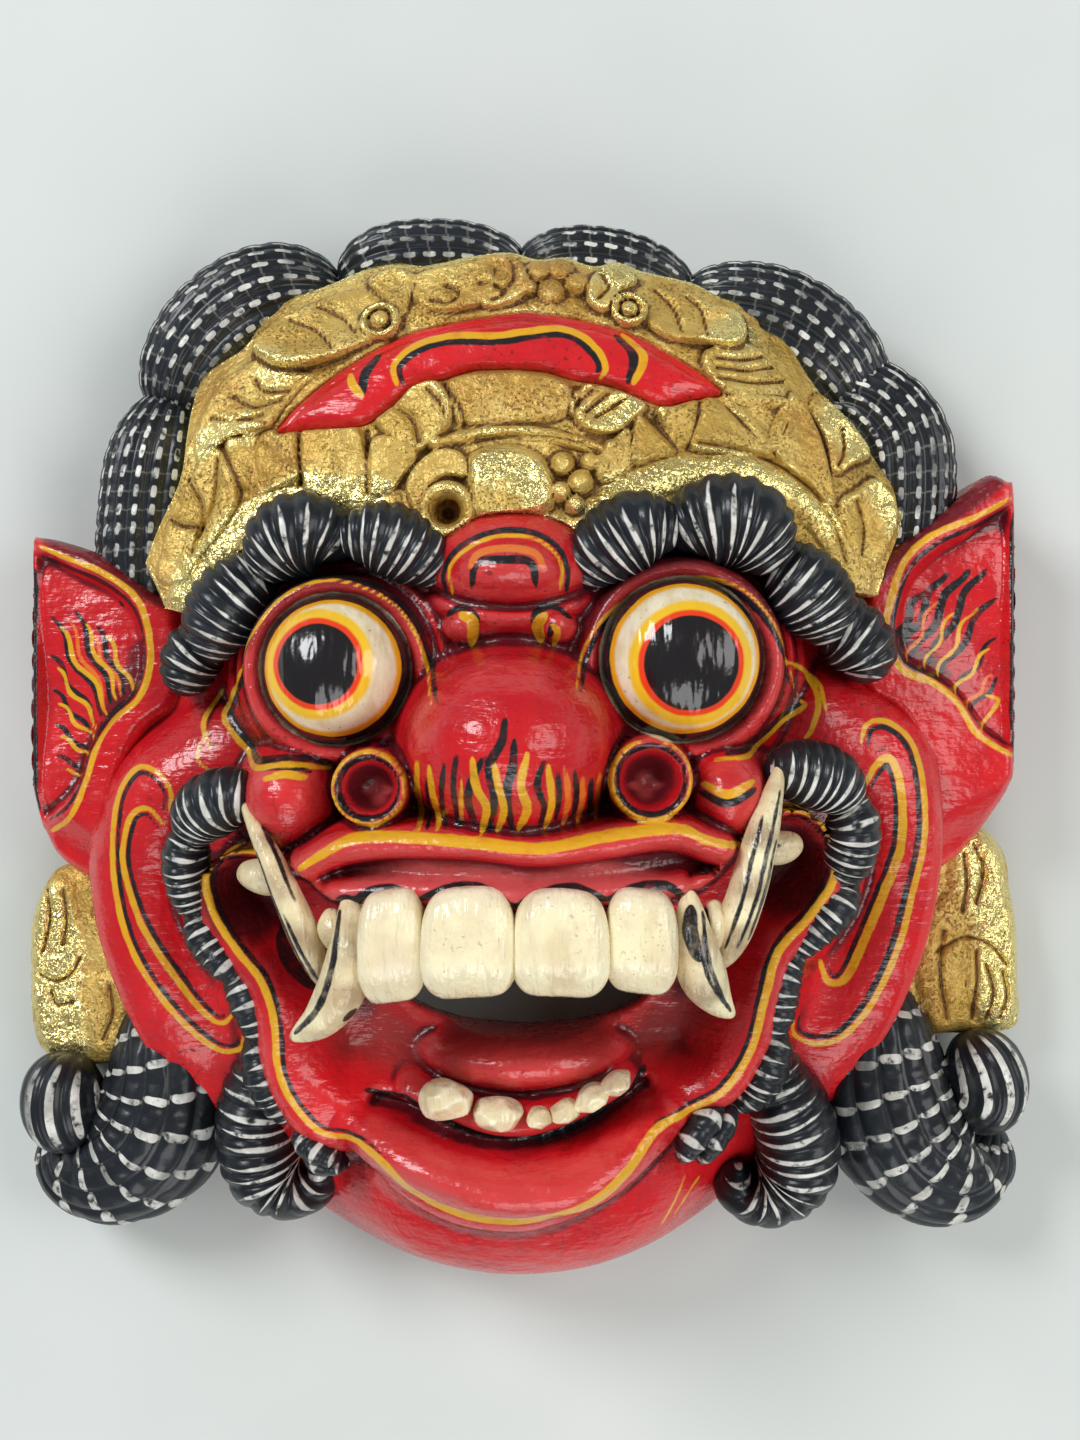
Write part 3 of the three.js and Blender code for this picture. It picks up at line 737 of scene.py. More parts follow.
def bend(unit, points, half, high, ends=2.4, relief=None):
    """Draws a ball out along a path of (x, y, z, girth). Returns its points, how far along the path each
    is, from 0 to 1, and how far round: 0 underneath, 0.5 on top."""
    line, reach = path(points)
    turn = np.arccos(np.clip(-unit[:, 2], -1, 1))
    t = 0.5 * (0.5 - 0.5 * np.cos(turn)) + 0.5 * turn / np.pi
    radius = np.clip(1 - np.abs(2 * t - 1) ** ends, 0, 1) ** (1 / ends)
    angle = np.arctan2(unit[:, 1], unit[:, 0])
    middle = np.stack([np.interp(t * reach[-1], reach, line[:, k]) for k in range(4)], 1)
    heading = np.gradient(line[:, :3], axis=0)
    heading /= np.linalg.norm(heading, axis=1)[:, None]
    heading = np.stack([np.interp(t * reach[-1], reach, heading[:, k]) for k in range(3)], 1)
    side = np.stack([heading[:, 1], -heading[:, 0], 0 * t], 1)
    side /= np.linalg.norm(side, axis=1)[:, None]
    up = np.cross(side, heading)
    rounding = (angle / (2 * np.pi) + 0.25) % 1
    if relief:
        radius = radius * (1 - relief(t, rounding))
    radius = radius * middle[:, 3]
    place = (middle[:, :3] + side * (half * radius * np.cos(angle))[:, None]
             + up * (high * radius * np.sin(angle))[:, None])
    return place, t, rounding


# upper teeth: left and right side, lower and upper end, and height
for k, (x0, x1, low, top, z) in enumerate([
    (-40.6, -23.6, -64.8, -36, 99), (-24.6, -1.0, -63.4, -35.5, 102),
    (-1.8, 22.2, -63.2, -36, 102), (21.4, 39.4, -62.6, -36, 99),
]):
    mesh, unit, edges = ball_mesh(f"upper_tooth_{k}", 64, 48)
    boxy = np.sign(unit) * np.abs(unit) ** np.array([0.46, 0.58, 0.72])
    width = 0.5 * (x1 - x0) * (1.03 - 0.09 * ease(boxy[:, 1], 0.0, 1.0) - 0.06 * ease(-boxy[:, 1], 0.5, 1))
    place = np.stack([
        0.5 * (x0 + x1) + boxy[:, 0] * width,
        0.5 * (low + top) + boxy[:, 1] * 0.5 * (top - low) + 0.5 * np.sin(boxy[:, 0] * 2.4 + k),
        z + boxy[:, 2] * np.where(unit[:, 2] > 0, 8.5, 14) - 3.0 * ease(-boxy[:, 1], 0.3, 1.0) * (unit[:, 2] > 0),
    ], 1)
    mark(mesh, "black", np.full(len(place), TOOTH_BARE))
    finish_piece(f"upper_tooth_{k}", mesh, place, edges, bone_white)

# pointed teeth: path, half width, half height, how blunt the ends are, and the lines painted on them
for name, points, half, high, ends, lines in (
    ("fang_left", [(-44, -38, 92, 0.55), (-42.5, -48, 97, 0.85), (-44.5, -60, 98, 1.0), (-50, -69, 96, 0.85),
                   (-58.5, -75, 92, 0.5)], 6.3, 6.5, 2.6,
     [(0.9, [(-45.5, -42), (-46.5, -54), (-50, -65), (-57, -73)]), (0.8, [(-41, -66), (-44, -69)])]),
    ("fang_right", [(43, -37, 92, 0.55), (43.5, -48, 97, 0.85), (46, -58, 97, 1.0), (50, -65, 94, 0.75),
                    (54.5, -69.5, 91, 0.45)], 6.2, 6.5, 2.6,
     [(2.0, [(43, -41), (42.5, -47), (44.5, -53)]), (0.7, [(46, -42), (46.5, -52), (50, -62), (53.4, -67.6)]),
      (0.6, [(44.6, -50), (47, -58), (52, -66)])]),
    ("blade_left", [(-49.5, -64, 82, 0.8), (-53, -55, 88, 1.0), (-58, -43, 90, 0.95), (-65, -28, 88, 0.72),
                    (-74, -13, 80, 0.35)], 4.2, 6, 2.8,
     [(0.5, [(-54, -60), (-58.5, -50), (-64, -37), (-68, -27)]), (0.6, [(-51, -62), (-55, -54), (-60, -43)]),
      (0.5, [(-57, -40), (-63, -27), (-69, -17)])]),
    ("blade_right", [(51.5, -58, 82, 0.8), (54, -50, 88, 1.05), (58, -38, 90, 1.0), (62.5, -22, 88, 0.85),
                     (68.5, -4, 80, 0.4)], 5.0, 6, 2.8,
     [(0.55, [(52, -52), (56, -40), (59, -28), (62, -18)]), (0.6, [(55, -52), (59.5, -40), (63, -26), (67, -12)]),
      (0.5, [(58, -50), (62, -38), (65.4, -24)])]),
    ("side_tooth_left", [(-62, -35.5, 76, 1.0), (-67.5, -35, 78, 1.0), (-74.5, -33.5, 76, 0.7)], 4.8, 6, 3, []),
    ("side_tooth_right", [(62, -27, 74, 0.9), (68, -27.5, 76, 1.0), (74, -26, 74, 0.75)], 4.6, 6, 3,
     [(0.5, [(63, -26), (68, -26.6)])]),
    ("root_left", [(-49, -42, 90, 0.7), (-48, -47, 91, 1.0), (-47.5, -54, 89, 0.4)], 4.0, 5, 2.4,
     [(0.9, [(-46, -44), (-46, -52)])]),
    ("root_right", [(50, -40, 88, 0.8), (49.5, -47, 90, 1.0), (50, -54, 88, 0.5)], 3.6, 5, 2.4,
     [(0.8, [(47.4, -42), (47.4, -50)])]),
):
    mesh, unit, edges = ball_mesh(name, 48, 64)
    place, _, _ = bend(unit, points, half, high, ends)
    place[:, 2] += 0.25 * np.sin(place[:, 1] / 2.1)
    mark(mesh, "black", np.where(place[:, 2] > 70, brush(place[:, 0], place[:, 1], lines), TOOTH_BARE))
    finish_piece(name, mesh, place, edges, bone_white)

# lower teeth: middle, half sizes and turn in radians, each chipped flat by a few cuts
for k, (tx, ty, half_x, half_y, turn) in enumerate([
    (-20, -94.6, 7.6, 5.2, -0.1), (-6.4, -98.8, 6.8, 4.6, -0.12), (4.6, -99.6, 3.6, 2.8, 0.1),
    (11.5, -98.2, 4.2, 2.8, 0.3), (19, -94.4, 5.6, 3.0, 0.5), (25.5, -90.6, 4.4, 2.8, 0.6),
]):
    mesh, unit, edges = ball_mesh(f"lower_tooth_{k}", 40, 28)
    ux, uy, uz = unit.T
    chip = 1 + 0.12 * np.sin(ux * 2.7 + k * 2) * np.cos(uy * 3.1 + k) + 0.06 * np.sin(uz * 4 + 3 * k)
    for cut in range(7):
        facing = np.array([np.cos(2.4 * cut + k), np.sin(2.4 * cut + k), 0.2 + 0.5 * (cut % 3)])
        chip = np.minimum(chip, 0.86 / np.maximum(unit @ (facing / np.linalg.norm(facing)), 0.5))
    dx, dy = ux * chip * half_x, uy * chip * half_y
    place = np.stack([
        tx + dx * np.cos(turn) - dy * np.sin(turn),
        ty + dx * np.sin(turn) + dy * np.cos(turn),
        74 + uz * chip * np.where(uz > 0, 7, 12),
    ], 1)
    mark(mesh, "black", np.full(len(place), TOOTH_BARE))
    finish_piece(f"lower_tooth_{k}", mesh, place, edges, bone_white, 3)


# ---------------------------------------------------------------- eyebrows
# Four fat rolls over each eye that overlap like shells, cut across with curved gouges and painted
# black, with one fine white line on the crest of each cut.
def hair_finish(pattern):
    """Blue-black paint with white marks. The pattern function says where they are."""
    def finish(s):
        crease = s.marked("crease")
        wear_and_sheen = s.noise(60, 4)
        colour = s.noise(25, 3).rise(0.35, 0.7).mix((0.006, 0.008, 0.011), (0.014, 0.018, 0.023))
        # painted highlight: lighter grey along the ridges
        colour = ((0 - crease + (wear_and_sheen - 0.6) * 0.5).rise(0.08, 0.5) * 0.4).mix(colour, (0.06, 0.064, 0.066))
        colour = (wear_and_sheen.rise(0.62, 0.8) * 0.35).mix(colour, (0.10, 0.095, 0.08))
        white = pattern(s) * s.noise(320, 3).rise(0.3, 0.5)
        chalky = s.noise(200, 2).rise(0.3, 0.7).mix((0.50, 0.49, 0.44), (0.78, 0.77, 0.72))
        colour = (white * 0.92).mix(colour, chalky)
        return {"Base Color": colour, "Roughness": 0.3 + wear_and_sheen * 0.3, "Coat Weight": 0.3,
                "Coat Roughness": 0.18, "Specular IOR Level": 0.25, "Normal": s.bump(s.noise(260, 3), 0.0004)}
    return finish


def strand_line(width, reach):
    """A thin line on the crest of each cut, tapering out over the part of the roll that faces out."""
    def pattern(s):
        across = s.marked("cut").alone("FRACT") - 0.5 + (s.noise(130, 2) - 0.5) * 0.2
        top = (s.marked("round") - 0.5).alone("ABSOLUTE") + (s.noise(70, 2) - 0.5) * 0.3
        wide = (1 - top.rise(0, reach)) * width
        line = 1 - (across.alone("ABSOLUTE") - wide).rise(-0.03, 0.05)
        return line * (1 - top.rise(reach * 0.75, reach))
    return pattern


ringed_hair = new_material("black_hair_ringed", hair_finish(strand_line(0.14, 0.16)))


def ringed_roll(name, points, half, high, rings, material, swirl=0.5, ends=2.6, rows=96, deep=0.13):
    """A roll with cuts across it that bow towards one end."""
    mesh, unit, edges = ball_mesh(name, 64, rows)

    def cut_number(t, rounding):
        return rings * t + swirl * np.cos((rounding - 0.5) * 2 * np.pi) + 0.12 * np.sin(rings * 2.3 * t + 1.3)

    def relief(t, rounding):
        valley = 1 - np.abs(np.sin(np.pi * cut_number(t, rounding))) ** 0.55
        return deep * valley * np.clip(np.sin(np.pi * t) * 5, 0, 1)

    place, t, rounding = bend(unit, points, half, high, ends, relief)
    outward = 0.05 if place[-1, 0] > MIDLINE else -0.05
    mark(mesh, "cut", cut_number(t, rounding) + 4)
    mark(mesh, "round", rounding + outward)
    finish_piece(name, mesh, place, edges, material, 3)


for name, points, half, high, rings in (
    ("brow_left_1", [(-19.5, 43.5, 74, 0.75), (-27, 50, 77, 1.0), (-37, 54.5, 78, 1.05), (-48, 54.5, 76, 0.8)],
     9.6, 12, 11),
    ("brow_left_2", [(-45, 52, 74, 0.75), (-53, 56, 75, 1.0), (-62, 54.5, 73, 1.1), (-71, 46, 68, 0.85)],
     10.6, 12, 9),
    ("brow_left_3", [(-68, 49, 66, 0.75), (-75, 43, 65, 1.0), (-82, 34, 62, 1.05), (-86, 23, 57, 0.7)],
     10.6, 12, 9),
    ("brow_left_4", [(-84, 31, 56, 0.75), (-91, 25, 54, 1.0), (-95, 14, 50, 0.85)], 8.8, 11, 6),
    ("brow_right_1", [(14, 42.5, 74, 0.75), (21, 50.5, 77, 1.0), (31, 56.5, 78, 1.08), (42, 56.5, 76, 0.85)],
     10.2, 12, 10),
    ("brow_right_2", [(39, 55, 75, 0.75), (49, 59, 76, 1.05), (60, 57.5, 74, 1.12), (69, 48, 69, 0.9)],
     11.6, 12, 10),
    ("brow_right_3", [(66, 51, 67, 0.75), (74, 45, 66, 1.0), (81, 37, 62, 1.05), (85, 28, 58, 0.8)],
     11.0, 12, 10),
    ("brow_right_4", [(79, 34, 57, 0.75), (88, 32, 56, 1.0), (95, 25, 53, 1.0), (95, 17, 50, 0.7)], 10.0, 12, 7),
):
    ringed_roll(name, points, half, high, rings, ringed_hair)


# ---------------------------------------------------------------- whiskers
# A wavy rope of hair down each side of the mouth, cut across every few millimetres, with small tufts
# on the chin. Carved with the block and painted like the eyebrows.
fine_hair = new_material("black_hair_fine", hair_finish(strand_line(0.15, 0.20)))

for name, points, half, high, rings in (
    ("whisker_left_1", [(-69, -14, 76, 0.85), (-77, -14, 75, 1.1), (-84.5, -18, 71, 1.15), (-89.5, -26, 67, 0.8)],
     7.8, 11, 9),
    ("whisker_left_2", [(-86, -20, 68, 0.6), (-90.5, -28, 67, 1.0), (-90, -40, 63, 0.95), (-86, -51, 60, 0.6)],
     6.4, 11, 11),
    ("whisker_left_3", [(-90, -43, 59, 0.5), (-86.5, -52, 61, 1.0), (-80.5, -60, 61, 0.95),
                        (-75.5, -66, 58, 0.6)], 6.0, 9, 9),
    ("whisker_left_4", [(-80, -60, 57, 0.7), (-75.5, -68, 59, 1.0), (-72.5, -77, 58, 0.9), (-71, -85, 56, 0.6)],
     6.2, 9, 7),
    ("whisker_left_5", [(-74, -80, 55, 0.7), (-72, -88, 55, 1.0), (-69, -97, 52, 1.0), (-65, -106, 49, 0.7)],
     6.6, 9, 8),
    ("whisker_right_1", [(65, -6, 78, 0.8), (73, -7, 76, 1.1), (82, -10, 73, 1.15), (88.5, -17, 69, 0.8)],
     8.0, 11, 10),
    ("whisker_right_2", [(83, -11, 70, 0.6), (89, -20, 69, 1.0), (88.5, -31, 65, 1.0), (85, -40, 62, 0.6)],
     7.2, 11, 10),
    ("whisker_right_3", [(89, -33, 61, 0.6), (85.5, -43, 62, 1.05), (79, -51, 61, 0.95), (73, -60, 59, 0.6)],
     6.8, 9, 10),
    ("whisker_right_4", [(76, -54, 58, 0.7), (71, -64, 59, 1.0), (69.5, -74, 58, 0.95), (68, -83, 56, 0.7)],
     6.4, 9, 9),
    ("whisker_right_5", [(71, -78, 56, 0.7), (68.5, -86, 56, 1.0), (65, -95, 53, 1.0), (59, -102, 50, 0.7)],
     6.8, 9, 8),
    ("tuft_left_1", [(-62, -108, 54, 0.8), (-56, -112, 57, 1.0), (-50, -115, 56, 0.6)], 4.6, 8, 4),
    ("tuft_left_2", [(-60, -112, 52, 0.8), (-55, -116, 54, 1.0), (-48, -117, 53, 0.6)], 4.0, 8, 3),
    ("tuft_right_1", [(54, -100, 56, 0.8), (48, -106, 60, 1.0), (43.5, -115, 57, 0.55)], 5.0, 9, 4),
    ("tuft_right_2", [(58, -101, 54, 0.8), (53, -108, 58, 1.0), (49, -116, 55, 0.5)], 4.4, 8, 4),
):
    ringed_roll(name, points, half, high, rings, fine_hair, 0.35, 3.0, 128, 0.12)


# ---------------------------------------------------------------- locks round the head
# Six thick locks that frame the diadem, from ear to ear. Each is gouged lengthwise into strands with
# light cuts across, painted blue-black, and dotted with white dashes that line up from strand to strand.
def dash_grid(period, long, wide, link, stagger=0.0):
    """White dashes in rows: each this long in a period along the strand, and this much of its width.
    Each strand starts its row a little later than the last."""
    def pattern(s):
        strand, along = s.marked("strand"), s.marked("along") / period
        along = along + (s.noise(45, 2) - 0.5) * 0.5 + strand.alone("FLOOR") * stagger
        u = (along.alone("FRACT") - 0.5).alone("ABSOLUTE")
        v = (strand.alone("FRACT") - 0.5).alone("ABSOLUTE")
        edge = (s.noise(300, 2) - 0.5) * 0.9
        dash = 1 - ((u * (2 * period / long)) ** 3 + (v * (2 / wide)) ** 4 + edge).rise(0.7, 1.3)
        dash = dash * (0.25 + s.noise(42, 3).rise(0.34, 0.56) * 0.75)
        thin = (1 - u.rise(0.03, 0.07)) * link
        return dash.math("MAXIMUM", dash, thin)
    return pattern


def stranded_roll(name, points, half, high, strands, material, period, ends=3.0, deep=0.10, rows=84, columns=160):
    """A roll cut lengthwise into strands, and nicked across once in each period."""
    mesh, unit, edges = ball_mesh(name, columns, rows)
    length = path(points)[1][-1]

    def relief(t, rounding):
        valley = 1 - np.abs(np.sin(np.pi * strands * rounding)) ** 0.5
        nick = (1 - np.abs(np.sin(np.pi * t * length / period)) ** 0.4) * 0.55
        return deep * np.maximum(valley, nick) * np.clip(np.sin(np.pi * t) * 6, 0, 1)

    place, t, rounding = bend(unit, points, half, high, ends, relief)
    mark(mesh, "strand", rounding * strands)
    mark(mesh, "along", t * length)
    finish_piece(name, mesh, place, edges, material, 2)


LOCK_PERIOD, CURL_PERIOD, KNOB_PERIOD = 5.6, 8.8, 26.0  # from one white dash or bar to the next
lock_hair = new_material("black_hair_locks", hair_finish(dash_grid(LOCK_PERIOD, 3.5, 0.31, 0.14, 0.06)))

for name, points, half, strands in (
    ("lock_left_low", [(-108, 28, 20, 0.9), (-109, 48, 21, 1.0), (-108, 68, 21, 1.0), (-105.5, 86, 21, 1.0),
                       (-102, 104, 21, 0.8)], 18, 22),
    ("lock_left_high", [(-104, 94, 20, 0.8), (-97.5, 109, 21, 0.95), (-86, 122, 21, 1.02), (-71, 130, 21, 1.0),
                        (-53, 133, 20, 0.8)], 19, 22),
    ("lock_top_left", [(-54, 134, 19, 0.85), (-41, 138, 20, 1.0), (-24, 139.4, 20, 1.0), (-9, 138, 20, 0.95),
                       (0, 134, 19, 0.8)], 15.4, 19),
    ("lock_top_right", [(-2, 134, 19, 0.85), (10, 137.6, 20, 1.0), (26, 137, 20, 1.0), (40, 133.6, 20, 0.9),
                        (49, 129, 19, 0.75)], 15.0, 19),
    ("lock_right_high", [(45, 128, 20, 0.8), (60, 126.5, 21, 0.95), (77, 121, 21, 1.02), (92, 109, 21, 1.0),
                         (101, 95, 20, 0.85)], 18, 22),
    ("lock_right_low", [(82, 103, 20, 0.75), (98, 100.5, 21, 0.9), (108.5, 89, 21, 1.0), (110.5, 72, 21, 1.0),
                        (109, 40, 20, 0.95)], 18, 22),
):
    stranded_roll(name, points, half, 21.5, strands, lock_hair, LOCK_PERIOD)


# ---------------------------------------------------------------- curls below the ears
# Two big scrolled curls hang below the ornaments, each with an end knob, and two small ones beside the
# chin. The big ones have strands round the scroll, crossed by white bars; the small ones are ringed.
curl_hair = new_material("black_hair_curls", hair_finish(dash_grid(CURL_PERIOD, 2.1, 0.84, 0.3, 0.13)))
knob_hair = new_material("black_hair_knobs", hair_finish(dash_grid(KNOB_PERIOD, 17.0, 0.36, 0.0)))

for name, points, half, high, strands, material, period, deep in (
    ("curl_big_left", [(-108, -70, 20, 0.7), (-105, -87, 23, 0.92), (-105, -104, 22, 1.05), (-111, -118, 20, 1.1),
                       (-123, -126, 18, 1.0), (-135, -125, 16, 0.85), (-141, -115, 15, 0.55)],
     19.5, 20, 15, curl_hair, CURL_PERIOD, 0.10),
    ("curl_big_left_end", [(-133, -92, 22, 0.75), (-135, -101, 24, 1.0), (-134.5, -110, 23, 1.0),
                           (-132, -119, 20, 0.75)],
     12.4, 18, 11, knob_hair, KNOB_PERIOD, 0.08),
    ("curl_big_right", [(106, -68, 20, 0.7), (105, -85, 23, 0.95), (107, -102, 22, 1.08), (114, -118, 20, 1.1),
                        (126, -127, 18, 1.0), (137, -125, 16, 0.8), (142, -115, 15, 0.5)],
     19.5, 20, 15, curl_hair, CURL_PERIOD, 0.10),
    ("curl_big_right_end", [(131, -86, 22, 0.75), (135, -95, 24, 1.0), (136, -104, 23, 1.0),
                            (132, -114, 20, 0.75)],
     12.4, 18, 12, knob_hair, KNOB_PERIOD, 0.06),
):
    stranded_roll(name, points, half, high, strands, material, period, 2.6, deep, 96, 128)
for name, points, half, rings in (
    ("curl_small_left", [(-71, -84, 44, 0.7), (-75, -97, 40, 1.0), (-76.5, -111, 36, 1.1), (-74, -124, 32, 1.1),
                         (-65, -129, 31, 0.95), (-58.5, -124, 32, 0.75), (-61, -118, 34, 0.5)], 11, 15),
    ("curl_small_right", [(67, -82, 46, 0.7), (72, -96, 42, 1.0), (78, -109, 38, 1.1), (79, -123, 33, 1.1),
                          (71, -131, 31, 1.0), (62.5, -129, 32, 0.85), (62, -121, 34, 0.6)], 11, 16),
):
    ringed_roll(name, points, half, 16, rings, fine_hair, 0.6, 2.8, 144, 0.12)


# ---------------------------------------------------------------- gilt diadem
# Carved in relief on the dome: leaves and scrolls over a red crescent, a fan and cut facets under it and
# a smooth band along the brows. Gold leaf on ochre ground, rubbed and pitted, with brown in the cuts.
def gold_finish(s):
    crease, bright = s.marked("crease"), s.marked("bright")
    cloud, fine = s.noise(55, 4), s.noise(420, 3)
    grain = s.noise(520, 4, rough=0.7)
    colour = cloud.rise(0.35, 0.65).mix((0.54, 0.34, 0.066), (0.70, 0.49, 0.135))
    colour = ((s.noise(24, 3) + (grain - 0.5) * 0.5).rise(0.5, 0.66) * 0.6).mix(colour, (0.44, 0.20, 0.035))
    leaf = bright + (0 - crease) * 0.8 + (cloud - 0.5) * 1.5 + (s.noise(170, 3) - 0.5) * 1.2 + (grain - 0.5) * 0.8
    leaf = leaf.rise(0.2, 0.75)
    colour = leaf.mix(colour, (0.92, 0.76, 0.30))
    colour = ((crease + (fine - 0.5) * 0.3).rise(0.10, 0.4) * 0.9).mix(colour, (0.13, 0.05, 0.012))
    pits = s.noise(1100, 2).rise(0.57, 0.65) * s.noise(75, 3).rise(0.38, 0.58)
    colour = (pits * (1 - leaf * 0.5) * 0.6).mix(colour, (0.16, 0.075, 0.02))
    return {"Base Color": colour, "Metallic": 0.4 + leaf * 0.5, "Roughness": 0.38 - leaf * 0.2 + fine * 0.14,
            "Normal": s.bump(fine + grain * 0.25 + s.noise(150, 4) * 2.5 - pits, 0.0009)}


gold_leaf = new_material("gold_leaf_on_ochre", gold_finish)


def slab(name, columns, rows, lay, top, bottom, passes=4):
    """A carved plate: a grid laid out in plan, its front raised to the top surface and its back closed
    at the bottom one. Returns its mesh, points, edges and which points are on the front."""
    plate = bmesh.new()
    bmesh.ops.create_grid(plate, x_segments=columns, y_segments=rows, size=1.0)
    grid = np.array([v.co for v in plate.verts])
    for vert, px, py in zip(plate.verts, *lay(grid[:, 0], grid[:, 1])):
        vert.co.x, vert.co.y = px, py
    mesh, place, edges, front, rim = raise_front(plate, name)
    place[~front, 2] = bottom(place[~front, 0], place[~front, 1])
    place[front, 2] = top(place[front, 0], place[front, 1])
    place = even_out(place, edges[front[edges].all(1)], front & ~rim, top, passes)
    return mesh, place, edges, front


def across_arch(low, high):
    """Lays a grid between two lines: along them by its columns, from one to the other by its rows."""
    lines = []
    for points in (low, high):
        line = smooth_line(points, 8)
        reach = np.concatenate([[0], np.cumsum(np.hypot(*np.diff(line, axis=0).T))])
        lines.append((reach / reach[-1], line))

    def lay(u, v):
        lower, upper = (
            np.stack([np.interp(u * 0.5 + 0.5, reach, line[:, k]) for k in range(2)]) for reach, line in lines)
        return lower + (upper - lower) * (v * 0.5 + 0.5)
    return lay


def pad(x, y, outline, high, lean=(0, 0), edge=2.0, dish=0.0):
    """A raised leaf or block with this outline. It leans across its width, its edge slopes and its
    middle may be dished."""
    line = smooth_line(outline, 4, closed=True)
    low, top = line.min(0), line.max(0)
    near = (x > low[0] - 3) & (x < top[0] + 3) & (y > low[1] - 3) & (y < top[1] + 3)
    raised = np.zeros(np.shape(x))
    if near.any():
        xn, yn = x[near], y[near]
        away = nearest(line, xn, yn)[0] * np.where(inside(line, xn, yn), 1, -1)
        span = (top - low).min() * 0.5
        middle = (top + low) * 0.5
        face = high + lean[0] * (xn - middle[0]) / span + lean[1] * (yn - middle[1]) / span
        face -= dish * ease(away, edge * 0.6, edge * 0.6 + span * 0.5)
        raised[near] = face * np.clip((away + 1.0) / (edge * 0.7), 0, 1) ** 0.6
    return raised


def ridge(away, half):
    """A round profile: 1 on the line and 0 from this far off it."""
    return np.sqrt(np.clip(1 - (away / half) ** 2, 0, 1))


def rolled_edge(away, width):
    """0 at the edge and 1 from this far in, rounded between like a quarter of a circle."""
    return np.sqrt(np.clip(1 - (1 - np.clip(away / width, 0, 1)) ** 2, 0, 1))


def dome(x, y):
    """The plain dome under the carving of the diadem."""
    return 79 * np.sqrt(np.clip(1 - ((x + 3) / 137) ** 2 - ((y - 20) / 142) ** 2, 0.03, 1))


